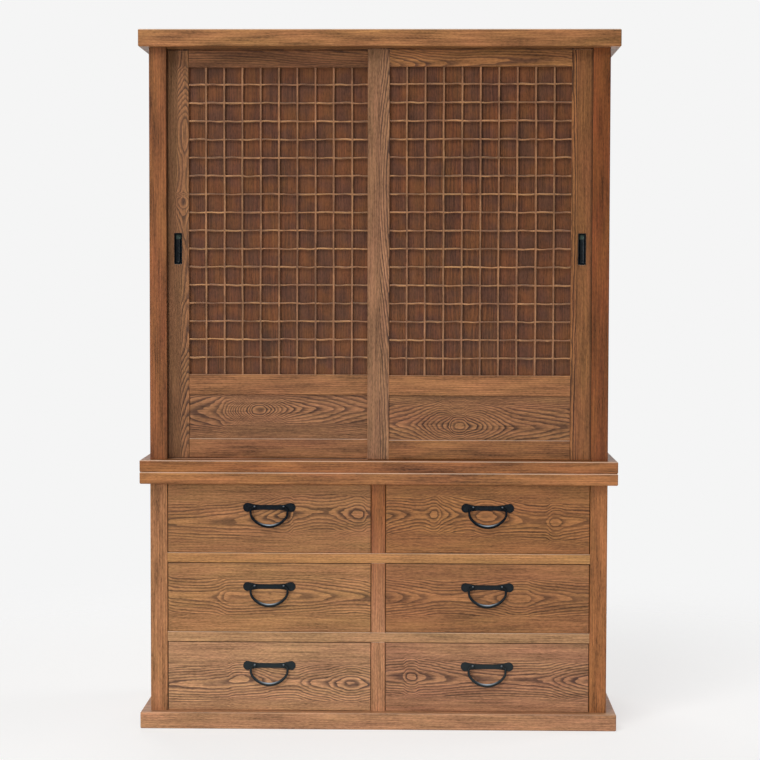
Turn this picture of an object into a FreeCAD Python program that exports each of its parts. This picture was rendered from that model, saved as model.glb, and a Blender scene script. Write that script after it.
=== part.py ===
import FreeCAD, Part
import math
import os

import Sketcher

# A Japanese clothing chest in two stacked cases. The lower case holds six drawers with iron
# drop handles. The upper case is a cupboard behind two sliding doors with lattice windows.
# X runs to the right, Y to the back and Z up. The origin is under the middle of the plan.

sizes = {
    # The boards that stand proud of the cases: base, the two between the cases, and top
    "board_width": 1200,
    "board_depth": 500,
    "base_board_thickness": 42,
    "middle_board_thickness": 30,
    "top_board_thickness": 43,
    "board_arris": 2,
    "side_overhang": 24,
    "front_overhang": 25,
    # Corner posts, side frames and their joints
    "post_width": 43,
    "lower_post_depth": 45,
    "upper_post_depth": 75,
    "rear_post_depth": 45,
    "post_arris": 1,
    "post_stub_length": 15,
    "post_stub_shoulder": 8,
    "mortise_room": 0.5,
    "side_rail_height": 60,
    "side_tenon_length": 25,
    "side_tenon_thickness": 14,
    "side_tenon_shoulder": 10,
    "side_panel_thickness": 12,
    "side_panel_setback": 14,
    "side_panel_tongue": 8,
    # Back boards
    "back_board_thickness": 10,
    "back_board_count": 6,
    "back_board_gap": 0.6,
    "back_rebate_width": 12,
    # Divisions of the lower case
    "drawer_row_count": 3,
    "drawer_opening_height": 176,
    "drawer_rail_height": 25,
    "drawer_rail_tenon_length": 25,
    "drawer_rail_tenon_height": 13,
    "drawer_rail_tenon_inset": 8,
    "centre_post_width": 35,
    "centre_post_stub": 8,
    "partition_thickness": 20,
    "partition_housing": 5,
    "runner_ledge": 30,
    "runner_thickness": 20,
    "guide_height": 18,
    # The cupboard
    "door_zone_height": 1032,
    "shelf_thickness": 18,
    "shelf_front_gap": 4,
    "cleat_height": 24,
    "cleat_width": 22,
    "peg_width": 14,
    "peg_length": 30,
    "peg_edge_distance": 90,
    # Sliding doors
    "door_thickness": 24,
    "door_setback": 14,
    "door_spacing": 3,
    "door_overlap": 58,
    "door_post_entry": 3,
    "door_edge_gap": 0.5,
    "door_tongue_thickness": 12,
    "door_tongue_gap": 0.3,
    "sill_tongue_height": 3,
    "sill_shoulder_gap": 1,
    "head_tongue_entry": 10,
    "head_shoulder_gap": 4,
    "head_lift_room": 4.5,
    "stile_width": 55,
    "top_rail_height": 42,
    "middle_rail_height": 51,
    "lower_panel_height": 112.5,
    "bottom_rail_height": 49,
    "door_tenon_length": 30,
    "door_tenon_thickness": 8,
    "door_tenon_shoulder": 8,
    "door_arris": 1,
    "lower_panel_thickness": 8,
    "lower_panel_setback": 5,
    "door_panel_tongue": 6,
    # Lattice and the board behind it
    "upright_count": 9,
    "crossbar_count": 16,
    "lattice_bar_width": 5.5,
    "upright_depth": 9,
    "crossbar_depth": 4.5,
    "lattice_setback": 3,
    "backing_board_thickness": 6,
    # Iron pulls let into the doors
    "pull_width": 20,
    "pull_length": 79,
    "pull_depth": 9,
    "pull_wall": 2,
    "pull_floor": 1.5,
    "pull_rim": 0.6,
    "pull_corner": 1.5,
    "pull_trough_corner": 3,
    "pull_height": 531,
    # Drawers
    "drawer_side_gap": 1.2,
    "drawer_foot_gap": 0.3,
    "drawer_top_gap": 1.7,
    "drawer_setback": 1.5,
    "drawer_back_gap": 1.5,
    "drawer_front_thickness": 22,
    "drawer_front_arris": 1.5,
    "drawer_side_thickness": 12,
    "drawer_side_height": 150,
    "drawer_side_lap": 14,
    "drawer_bottom_thickness": 6,
    "drawer_bottom_rise": 8,
    "drawer_bottom_tongue": 5,
    # Iron drop handles
    "handle_height": 115.5,
    "plate_length": 133,
    "plate_end_diameter": 23,
    "plate_waist": 12.4,
    "plate_thickness": 2,
    "plate_flare": 20,
    "pin_spacing": 73,
    "pin_standoff": 8,
    "pin_shank": 5,
    "pin_eye_diameter": 11,
    "pin_eye_width": 5,
    "pin_eye_gap": 0.3,
    "pin_clinch_length": 16,
    "pin_clinch_thickness": 1.5,
    "iron_side_count": 8,
    "disc_arc_count": 5,
    "flare_arc_count": 2,
    # The bail is a many-sided rod, bent to a three-centred curve, that swells towards the grip
    "bail_width": 93,
    "bail_drop": 47,
    "bail_end_diameter": 5.5,
    "bail_grip_diameter": 8.6,
    "bail_stub": 7,
    "bail_shoulder_radius": 7,
    "bail_shoulder_drop": 12,
    "bail_corner_radius": 24,
    "bail_corner_count": 2,
    "bail_grip_count": 3,
    "bail_shoulder_count": 2,
}

doc = FreeCAD.newDocument("clothing_chest")
sheet = doc.addObject("Spreadsheet::Sheet", "Sizes")
for row, (name, number) in enumerate(sizes.items(), start=1):
    sheet.set(f"A{row}", name)
    sheet.set(f"B{row}", str(number))
    sheet.setAlias(f"B{row}", name)
doc.recompute()


class Length:
    """A length as a formula of the sheet's cells, with its value beside it."""

    def __init__(self, formula, value):
        self.formula = formula
        self.value = value

    def __add__(self, other):
        other = as_length(other)
        return Length(f"({self.formula} + {other.formula})", self.value + other.value)

    def __sub__(self, other):
        other = as_length(other)
        return Length(f"({self.formula} - {other.formula})", self.value - other.value)

    def __mul__(self, other):
        other = as_length(other)
        return Length(f"({self.formula} * {other.formula})", self.value * other.value)

    def __truediv__(self, other):
        other = as_length(other)
        return Length(f"({self.formula} / {other.formula})", self.value / other.value)

    def __neg__(self):
        return 0 - self

    def __radd__(self, other):
        return as_length(other) + self

    def __rsub__(self, other):
        return as_length(other) - self

    def __rmul__(self, other):
        return as_length(other) * self


def as_length(number):
    return number if isinstance(number, Length) else Length(str(number), number)


class Sizes:
    """The sheet's sizes by name."""

    def __getattr__(self, name):
        return Length(f"Sizes.{name}", float(sheet.get(name)))


size = Sizes()
chest_pieces = []


# Drawing in bodies: every helper below binds what it draws to the sheet.

def place(piece, position):
    """Put a piece at a position worked out from the sheet."""
    for axis, length in zip("xyz", position):
        piece.setExpression(f"Placement.Base.{axis}", as_length(length).formula)


def new_body(label, position=(0, 0, 0)):
    body = doc.addObject("PartDesign::Body", label)
    body.Label = label
    body.AllowCompound = True
    place(body, position)
    return body


def new_node(label, members, position=(0, 0, 0)):
    """Keep several pieces together, still as separate solids."""
    node = doc.addObject("Part::Compound", label)
    node.Label = label
    node.Links = members
    place(node, position)
    return node


def drive(sketch, length, kind, *where):
    """Add a dimension to a sketch and bind it to the sheet."""
    index = sketch.addConstraint(Sketcher.Constraint(kind, *where, as_length(length).value))
    sketch.setExpression(f"Constraints[{index}]", as_length(length).formula)


def origin_part(body, role):
    """One of the body's own origin planes or axes."""
    return next(item for item in body.Origin.OriginFeatures if item.Role == role)


def new_sketch(body, role, lift):
    """A sketch on one of the body's own planes, lifted along the plane's normal."""
    sketch = body.newObject("Sketcher::SketchObject", "Outline")
    sketch.AttachmentSupport = [(origin_part(body, role), "")]
    sketch.MapMode = "FlatFace"
    sketch.setExpression("AttachmentOffset.Base.z", as_length(lift).formula)
    return sketch


def rectangle(sketch, low, extent):
    """Draw a rectangle from its low corner, with four driven dimensions."""
    left, bottom = (as_length(length).value for length in low)
    width, height = (as_length(length).value for length in extent)
    corners = [
        FreeCAD.Vector(left, bottom, 0),
        FreeCAD.Vector(left + width, bottom, 0),
        FreeCAD.Vector(left + width, bottom + height, 0),
        FreeCAD.Vector(left, bottom + height, 0),
    ]
    for start, end in zip(corners, corners[1:] + corners[:1]):
        sketch.addGeometry(Part.LineSegment(start, end), False)
    for side in range(len(corners)):
        following = (side + 1) % len(corners)
        sketch.addConstraint(Sketcher.Constraint("Coincident", side, 2, following, 1))
        direction = "Vertical" if side % 2 else "Horizontal"
        sketch.addConstraint(Sketcher.Constraint(direction, side))
    drive(sketch, low[0], "DistanceX", -1, 1, 0, 1)
    drive(sketch, low[1], "DistanceY", -1, 1, 0, 1)
    drive(sketch, extent[0], "DistanceX", 0, 1, 0, 2)
    drive(sketch, extent[1], "DistanceY", 1, 1, 1, 2)


def feature(body, kind, sketch, length):
    """Pad or pocket a sketch by a driven length and make it the body's tip."""
    made = body.newObject(f"PartDesign::{kind}", kind)
    made.Profile = sketch
    made.setExpression("Length", as_length(length).formula)
    body.Tip = made
    return made


def block(body, low, extent):
    """Add a block, given its low corner and its extent."""
    sketch = new_sketch(body, "XY_Plane", low[2])
    rectangle(sketch, low[:2], extent[:2])
    return feature(body, "Pad", sketch, extent[2])


def cut(body, low, extent):
    """Cut a block out, from its top face downwards."""
    sketch = new_sketch(body, "XY_Plane", low[2] + extent[2])
    rectangle(sketch, low[:2], extent[:2])
    return feature(body, "Pocket", sketch, extent[2])


def repeat(body, originals, axis, reach, count):
    """Repeat features along the X, Y or Z axis, the last copy at the given reach."""
    pattern = body.newObject("PartDesign::LinearPattern", "Row")
    pattern.Originals = originals
    pattern.Direction = (origin_part(body, f"{axis.upper()}_Axis"), [""])
    pattern.setExpression("Length", as_length(reach).formula)
    pattern.setExpression("Occurrences", as_length(count).formula)
    body.Tip = pattern
    return pattern


def along(axis):
    """Choose the straight edges that run along an axis."""
    direction = {"x": FreeCAD.Vector(1, 0, 0), "y": FreeCAD.Vector(0, 1, 0),
                 "z": FreeCAD.Vector(0, 0, 1)}[axis]

    def choose(edge, solid):
        start, end = edge.firstVertex().Point, edge.lastVertex().Point
        return (end - start).cross(direction).Length < Part.Precision.confusion() * edge.Length
    return choose


def every_edge(edge, solid):
    return True


def front_edges(edge, solid):
    """Choose the edges that lie in the front face."""
    front = solid.BoundBox.YMin
    return edge.BoundBox.YMax - front < Part.Precision.confusion() * solid.BoundBox.YLength


def dress(body, kind, width, choose):
    """Chamfer or fillet the chosen edges of the piece as it stands."""
    doc.recompute()
    base = body.Tip
    names = [f"Edge{number}" for number, edge in enumerate(base.Shape.Edges, start=1)
             if choose(edge, base.Shape)]
    made = body.newObject(f"PartDesign::{kind}", kind)
    made.Base = (base, names)
    made.setExpression("Size" if kind == "Chamfer" else "Radius", width.formula)
    body.Tip = made
    return made


# Main planes of the chest

lower_height = (size.drawer_row_count * size.drawer_opening_height
                + (size.drawer_row_count - 1) * size.drawer_rail_height)
lower_top = size.base_board_thickness + lower_height
joint_height = lower_top + size.middle_board_thickness
upper_floor = joint_height + size.middle_board_thickness
upper_ceiling = upper_floor + size.door_zone_height
row_pitch = size.drawer_opening_height + size.drawer_rail_height

board_front = -size.board_depth / 2
case_back = size.board_depth / 2
case_front = board_front + size.front_overhang
case_side = size.board_width / 2 - size.side_overhang
inner_side = case_side - size.post_width
inner_width = 2 * inner_side
rear_post_front = case_back - size.rear_post_depth
back_board_front = case_back - size.back_board_thickness
lower_post_back = case_front + size.lower_post_depth
upper_post_back = case_front + size.upper_post_depth
panel_inner_side = case_side - size.side_panel_setback - size.side_panel_thickness

front_door_face = case_front + size.door_setback
rear_door_face = front_door_face + size.door_thickness + size.door_spacing


def mirrored(low_x, width, side):
    """The low X of something that lies between low_x and low_x + width on the right side."""
    return low_x if side > 0 else -low_x - width


# Boards that overhang the cases, with mortises for the posts' stubs

def post_plans(front_depth):
    """Plans of the four posts' stubs, as low corner and extent."""
    inset = size.post_stub_shoulder
    width = size.post_width - 2 * inset
    for side in (-1, 1):
        low_x = mirrored(inner_side + inset, width, side)
        yield (low_x, case_front + inset), (width, front_depth - 2 * inset)
        yield (low_x, rear_post_front + inset), (width, size.rear_post_depth - 2 * inset)


def overhanging_board(label, bottom, thickness):
    body = new_body(label, (0, 0, bottom))
    block(body, (-size.board_width / 2, board_front, 0), (size.board_width, size.board_depth, thickness))
    dress(body, "Chamfer", size.board_arris, every_edge)
    return body


def mortise_posts(body, front_depth, face, upward):
    """Cut the stubs' mortises into a face of a board; upward means into its underside."""
    depth = size.post_stub_length + size.mortise_room
    low_z = face if upward else face - depth
    for low, extent in post_plans(front_depth):
        cut(body, (*low, low_z), (*extent, depth))


def house_partition(body, face, upward):
    low_z = face if upward else face - size.partition_housing
    low = (-size.partition_thickness / 2, lower_post_back, low_z)
    cut(body, low, (size.partition_thickness, back_board_front - lower_post_back, size.partition_housing))


def peg_plans():
    """Plans of the four square pegs that locate the upper case, as low corner and extent."""
    reach_x = case_side - size.peg_edge_distance
    reach_y = case_back - size.peg_edge_distance
    for side in (-1, 1):
        for end in (-1, 1):
            low = (side * reach_x - size.peg_width / 2, end * reach_y - size.peg_width / 2)
            yield low, (size.peg_width, size.peg_width)


def peg_mortises(body, low_z):
    """Sink the pegs' mortises, half a peg deep, from the given level up."""
    for low, extent in peg_plans():
        cut(body, (*low, low_z), (*extent, size.peg_length / 2))


base_board = overhanging_board("base_board", 0, size.base_board_thickness)
mortise_posts(base_board, size.lower_post_depth, size.base_board_thickness, False)
house_partition(base_board, size.base_board_thickness, False)

lower_top_board = overhanging_board("lower_top_board", lower_top, size.middle_board_thickness)
mortise_posts(lower_top_board, size.lower_post_depth, as_length(0), True)
house_partition(lower_top_board, as_length(0), True)
peg_mortises(lower_top_board, size.middle_board_thickness - size.peg_length / 2)

upper_bottom_board = overhanging_board("upper_bottom_board", joint_height, size.middle_board_thickness)
mortise_posts(upper_bottom_board, size.upper_post_depth, size.middle_board_thickness, False)
peg_mortises(upper_bottom_board, as_length(0))

upper_top_board = overhanging_board("upper_top_board", upper_ceiling, size.top_board_thickness)
mortise_posts(upper_top_board, size.upper_post_depth, as_length(0), True)

pegs = new_body("locating_pegs", (0, 0, joint_height - size.peg_length / 2))
for peg_low, peg_extent in peg_plans():
    block(pegs, (*peg_low, as_length(0)), (*peg_extent, size.peg_length))

chest_pieces += [base_board, lower_top_board, upper_bottom_board, upper_top_board, pegs]


# Grooves for the doors: a shallow one in the sill, a deep one in the head to lift the doors out

groove_width = size.door_tongue_thickness + 2 * size.door_tongue_gap
groove_inset = (size.door_thickness - groove_width) / 2
sill_groove_depth = size.sill_tongue_height + size.door_tongue_gap
head_groove_depth = size.head_tongue_entry + size.head_lift_room

groove_end = inner_side + size.door_post_entry + size.door_edge_gap
for door_face in (front_door_face, rear_door_face):
    groove_low = (-groove_end, door_face + groove_inset)
    groove_plan = (2 * groove_end, groove_width)
    cut(upper_bottom_board, (*groove_low, size.middle_board_thickness - sill_groove_depth),
        (*groove_plan, sill_groove_depth))
    cut(upper_top_board, (*groove_low, as_length(0)), (*groove_plan, head_groove_depth))


# Side frames: two posts, their rails tenoned between them, and panels in grooves

def side_frame(name, side, floor, height, front_depth, rail_bottoms):
    """One side of a case. Returns its frame and the panels between its rails."""
    outer = mirrored(inner_side, size.post_width, side)
    panel_x = mirrored(panel_inner_side, size.side_panel_thickness, side)
    tenon_x = outer + (size.post_width - size.side_tenon_thickness) / 2
    front_post_back = case_front + front_depth
    rail_length = rear_post_front - front_post_back
    tenon_height = size.side_rail_height - 2 * size.side_tenon_shoulder
    mortise = (size.side_tenon_thickness, size.side_tenon_length + size.mortise_room, tenon_height)
    tongue = size.side_panel_tongue
    panel_bottoms = [bottom + size.side_rail_height - tongue for bottom in rail_bottoms[:-1]]
    panel_heights = [upper - lower + tongue for lower, upper in zip(panel_bottoms, rail_bottoms[1:])]

    posts = []
    for place_name, post_y, depth in (("front", case_front, front_depth),
                                      ("rear", rear_post_front, size.rear_post_depth)):
        post = new_body(f"{name}_{place_name}_post", (0, 0, floor))
        block(post, (outer, post_y, 0), (size.post_width, depth, height))
        dress(post, "Chamfer", size.post_arris, along("z"))
        inset = size.post_stub_shoulder
        block(post, (outer + inset, post_y + inset, -size.post_stub_length),
              (size.post_width - 2 * inset, depth - 2 * inset, height + 2 * size.post_stub_length))
        is_front = place_name == "front"
        mortise_y = post_y + depth - mortise[1] if is_front else post_y
        groove_y = post_y + depth - tongue if is_front else post_y
        for bottom in rail_bottoms:
            cut(post, (tenon_x, mortise_y, bottom + size.side_tenon_shoulder), mortise)
        for bottom, panel_height in zip(panel_bottoms, panel_heights):
            cut(post, (panel_x, groove_y, bottom), (size.side_panel_thickness, tongue, panel_height))
        if not is_front:
            rebate_x = mirrored(inner_side, size.back_rebate_width, side)
            cut(post, (rebate_x, back_board_front, as_length(0)),
                (size.back_rebate_width, size.back_board_thickness, height))
        posts.append(post)

    rails = []
    for number, bottom in enumerate(rail_bottoms):
        rail = new_body(f"{name}_rail_{number + 1}", (0, 0, floor + bottom))
        block(rail, (outer, front_post_back, 0), (size.post_width, rail_length, size.side_rail_height))
        dress(rail, "Chamfer", size.post_arris, along("y"))
        if number > 0:
            cut(rail, (panel_x, front_post_back, as_length(0)),
                (size.side_panel_thickness, rail_length, tongue))
        if number < len(rail_bottoms) - 1:
            cut(rail, (panel_x, front_post_back, size.side_rail_height - tongue),
                (size.side_panel_thickness, rail_length, tongue))
        block(rail, (tenon_x, front_post_back - size.side_tenon_length, size.side_tenon_shoulder),
              (size.side_tenon_thickness, rail_length + 2 * size.side_tenon_length, tenon_height))
        rails.append(rail)

    panels = []
    for number, (bottom, panel_height) in enumerate(zip(panel_bottoms, panel_heights)):
        panel = new_body(f"{name}_panel_{number + 1}", (0, 0, floor + bottom))
        block(panel, (panel_x, front_post_back - tongue, 0),
              (size.side_panel_thickness, rail_length + 2 * tongue, panel_height))
        panels.append(panel)
    return new_node(f"{name}_frame", posts + rails), panels


top_rail_level = lower_height - size.side_rail_height
shelf_rail_level = (size.door_zone_height - size.side_rail_height) / 2
upper_rail_levels = [as_length(0), shelf_rail_level, size.door_zone_height - size.side_rail_height]

lower_panels = []
upper_panels = []
for side_name, side_sign in (("left", -1), ("right", 1)):
    frame, panels = side_frame(f"lower_{side_name}_side", side_sign, size.base_board_thickness,
                               lower_height, size.lower_post_depth, [as_length(0), top_rail_level])
    lower_panels += panels
    chest_pieces.append(frame)
    frame, panels = side_frame(f"upper_{side_name}_side", side_sign, upper_floor,
                               size.door_zone_height, size.upper_post_depth, upper_rail_levels)
    upper_panels += panels
    chest_pieces.append(frame)

    # The closed door's outer stile enters a shallow groove in its post.
    closing_face = rear_door_face if side_sign < 0 else front_door_face
    groove_depth = size.door_post_entry + size.door_edge_gap
    door_groove = (groove_depth, size.door_thickness + 2 * size.door_edge_gap, size.door_zone_height)
    cut(doc.getObject(f"upper_{side_name}_side_front_post"),
        (mirrored(inner_side, groove_depth, side_sign), closing_face - size.door_edge_gap, as_length(0)),
        door_groove)

chest_pieces.append(new_node("lower_side_panels", lower_panels))
chest_pieces.append(new_node("upper_side_panels", upper_panels))


# Backs: upright boards nailed into the rear posts' rebates

def back_boards(label, floor, height):
    body = new_body(label, (0, 0, floor))
    total = inner_width + 2 * size.back_rebate_width
    width = (total + size.back_board_gap) / size.back_board_count - size.back_board_gap
    pad = block(body, (-total / 2, back_board_front, 0), (width, size.back_board_thickness, height))
    repeat(body, [pad], "x", total - width, size.back_board_count)
    return body


chest_pieces.append(back_boards("lower_back_boards", size.base_board_thickness, lower_height))
chest_pieces.append(back_boards("upper_back_boards", upper_floor, size.door_zone_height))


# Drawer rails run from post to post, and short centre posts stand between them

rail_levels = [number * row_pitch - size.drawer_rail_height
               for number in range(1, round(size.drawer_row_count.value))]
centre_stub = (size.centre_post_width - 2 * size.post_stub_shoulder,
               size.lower_post_depth - 2 * size.post_stub_shoulder)
centre_stub_low = (-centre_stub[0] / 2, case_front + size.post_stub_shoulder)
stub_mortise_depth = size.centre_post_stub + size.mortise_room

drawer_rails = []
for number, level in enumerate(rail_levels, start=1):
    rail = new_body(f"drawer_rail_{number}", (0, 0, size.base_board_thickness + level))
    block(rail, (-inner_side, case_front, 0),
          (inner_width, size.lower_post_depth, size.drawer_rail_height))
    dress(rail, "Chamfer", size.post_arris, along("x"))
    tenon_low_z = (size.drawer_rail_height - size.drawer_rail_tenon_height) / 2
    block(rail, (-inner_side - size.drawer_rail_tenon_length, case_front + size.drawer_rail_tenon_inset,
                 tenon_low_z),
          (inner_width + 2 * size.drawer_rail_tenon_length,
           size.lower_post_depth - 2 * size.drawer_rail_tenon_inset, size.drawer_rail_tenon_height))
    for mortise_z in (as_length(0), size.drawer_rail_height - stub_mortise_depth):
        cut(rail, (*centre_stub_low, mortise_z), (*centre_stub, stub_mortise_depth))
    drawer_rails.append(rail)

    post_mortise = (size.drawer_rail_tenon_length + size.mortise_room,
                    size.lower_post_depth - 2 * size.drawer_rail_tenon_inset, size.drawer_rail_tenon_height)
    for side_name, side_sign in (("left", -1), ("right", 1)):
        cut(doc.getObject(f"lower_{side_name}_side_front_post"),
            (mirrored(inner_side, post_mortise[0], side_sign), case_front + size.drawer_rail_tenon_inset,
             level + tenon_low_z), post_mortise)
chest_pieces.append(new_node("drawer_rails", drawer_rails))

centre_posts = []
for number in range(round(size.drawer_row_count.value)):
    centre_post = new_body(f"centre_post_{number + 1}",
                           (0, 0, size.base_board_thickness + number * row_pitch))
    block(centre_post, (-size.centre_post_width / 2, case_front, 0),
          (size.centre_post_width, size.lower_post_depth, size.drawer_opening_height))
    dress(centre_post, "Chamfer", size.post_arris, along("z"))
    block(centre_post, (*centre_stub_low, -size.centre_post_stub),
          (*centre_stub, size.drawer_opening_height + 2 * size.centre_post_stub))
    centre_posts.append(centre_post)
chest_pieces.append(new_node("centre_posts", centre_posts))

for board, mortise_z in ((base_board, size.base_board_thickness - stub_mortise_depth),
                         (lower_top_board, as_length(0))):
    cut(board, (*centre_stub_low, mortise_z), (*centre_stub, stub_mortise_depth))

partition = new_body("centre_partition", (0, 0, size.base_board_thickness - size.partition_housing))
block(partition, (-size.partition_thickness / 2, lower_post_back, 0),
      (size.partition_thickness, back_board_front - lower_post_back,
       lower_height + 2 * size.partition_housing))
chest_pieces.append(partition)


# Runners carry the drawers behind each rail, and guides keep them straight

def side_strip(body, inner_edge, bottom, height):
    """A strip along each side frame, from its panel to the given inner edge."""
    width = panel_inner_side - inner_edge
    return [block(body, (mirrored(inner_edge, width, side), lower_post_back, bottom),
                  (width, rear_post_front - lower_post_back, height)) for side in (-1, 1)]


def centre_strip(body, outer_edge, bottom, height):
    """A strip along each face of the centre partition, out to the given edge."""
    width = outer_edge - size.partition_thickness / 2
    return [block(body, (mirrored(size.partition_thickness / 2, width, side), lower_post_back, bottom),
                  (width, back_board_front - lower_post_back, height)) for side in (-1, 1)]


runner_bottom = size.drawer_rail_height - size.runner_thickness
centre_edge = size.centre_post_width / 2
upper_rows = size.drawer_row_count - 1
upper_rows_reach = (size.drawer_row_count - 2) * row_pitch

runners = new_body("drawer_runners", (0, 0, size.base_board_thickness + rail_levels[0]))
runner_pads = (side_strip(runners, inner_side - size.runner_ledge, runner_bottom, size.runner_thickness)
               + centre_strip(runners, centre_edge + size.runner_ledge, runner_bottom,
                              size.runner_thickness))
repeat(runners, runner_pads, "z", upper_rows_reach, upper_rows)

side_guides = new_body("side_guides", (0, 0, size.base_board_thickness + row_pitch))
repeat(side_guides, side_strip(side_guides, inner_side, as_length(0), size.guide_height),
       "z", upper_rows_reach, upper_rows)
centre_guides = new_body("centre_guides", (0, 0, size.base_board_thickness))
repeat(centre_guides, centre_strip(centre_guides, centre_edge, as_length(0), size.guide_height),
       "z", upper_rows * row_pitch, size.drawer_row_count)
chest_pieces += [runners, new_node("drawer_guides", [side_guides, centre_guides])]


# The cupboard's shelf rests on cleats along the side rails and the back

shelf_front = upper_post_back + size.shelf_front_gap
cleat_low = upper_floor + shelf_rail_level + (size.side_rail_height - size.shelf_thickness
                                              - size.cleat_height) / 2
cleats = new_body("shelf_cleats", (0, 0, cleat_low))
for side_sign in (-1, 1):
    block(cleats, (mirrored(inner_side - size.cleat_width, size.cleat_width, side_sign), shelf_front, 0),
          (size.cleat_width, back_board_front - shelf_front, size.cleat_height))
block(cleats, (-inner_side + size.cleat_width + size.back_board_gap,
               back_board_front - size.cleat_width, 0),
      (inner_width - 2 * (size.cleat_width + size.back_board_gap), size.cleat_width, size.cleat_height))

shelf = new_body("cupboard_shelf", (0, 0, cleat_low + size.cleat_height))
block(shelf, (-inner_side, shelf_front, 0),
      (inner_width, back_board_front - shelf_front, size.shelf_thickness))
dress(shelf, "Chamfer", size.post_arris, front_edges)
chest_pieces += [cleats, shelf]


# Sliding doors. Each is drawn from the low corner of its face, at the sill.

door_width = (inner_width + 2 * size.door_post_entry + size.door_overlap) / 2
window_width = door_width - 2 * size.stile_width
door_height = size.door_zone_height - size.sill_shoulder_gap - size.head_shoulder_gap
bottom_rail_z = size.sill_shoulder_gap
lower_panel_z = bottom_rail_z + size.bottom_rail_height
middle_rail_z = lower_panel_z + size.lower_panel_height
window_z = middle_rail_z + size.middle_rail_height
top_rail_z = size.sill_shoulder_gap + door_height - size.top_rail_height
window_height = top_rail_z - window_z
tongue_y = (size.door_thickness - size.door_tongue_thickness) / 2
tenon_y = (size.door_thickness - size.door_tenon_thickness) / 2
backing_y = size.lattice_setback + size.upright_depth
door_tongue = size.door_panel_tongue
foot_tongue = size.sill_tongue_height + size.sill_shoulder_gap
head_tongue = size.head_tongue_entry + size.head_shoulder_gap


def tongues(body, low_x, width, at_foot, at_head):
    """The thinned edges that run in the sill's and the head's grooves."""
    if at_foot:
        block(body, (low_x, tongue_y, -size.sill_tongue_height),
              (width, size.door_tongue_thickness, foot_tongue))
    if at_head:
        block(body, (low_x, tongue_y, size.sill_shoulder_gap + door_height),
              (width, size.door_tongue_thickness, head_tongue))


def door_rail(name, bottom, height, grooves, at_foot=False, at_head=False):
    """A rail between the stiles, with tenons, and a groove for each panel beside it."""
    rail = new_body(name)
    block(rail, (size.stile_width, 0, bottom), (window_width, size.door_thickness, height))
    dress(rail, "Chamfer", size.door_arris, along("x"))
    for groove_y, thickness, at_top in grooves:
        groove_z = bottom + height - door_tongue if at_top else bottom
        cut(rail, (size.stile_width, groove_y, groove_z), (window_width, thickness, door_tongue))
    block(rail, (size.stile_width - size.door_tenon_length, tenon_y, bottom + size.door_tenon_shoulder),
          (window_width + 2 * size.door_tenon_length, size.door_tenon_thickness,
           height - 2 * size.door_tenon_shoulder))
    tongues(rail, size.stile_width, window_width, at_foot, at_head)
    return rail


def pull_outline(body, lift, centre, width, length, kind, depth, corner):
    """A pad or pocket with clipped corners, centred on the pull, in the door's face."""
    sketch = new_sketch(body, "XZ_Plane", lift)
    rectangle(sketch, (centre - width / 2, size.pull_height - length / 2), (width, length))
    feature(body, kind, sketch, depth)

    def its_corners(edge, solid):
        middle = edge.CenterOfMass
        off_x = abs(abs(middle.x - centre.value) - width.value / 2)
        off_z = abs(abs(middle.z - size.pull_height.value) - length.value / 2)
        return along("y")(edge, solid) and max(off_x, off_z) < Part.Precision.confusion()
    dress(body, "Chamfer", corner, its_corners)


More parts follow.
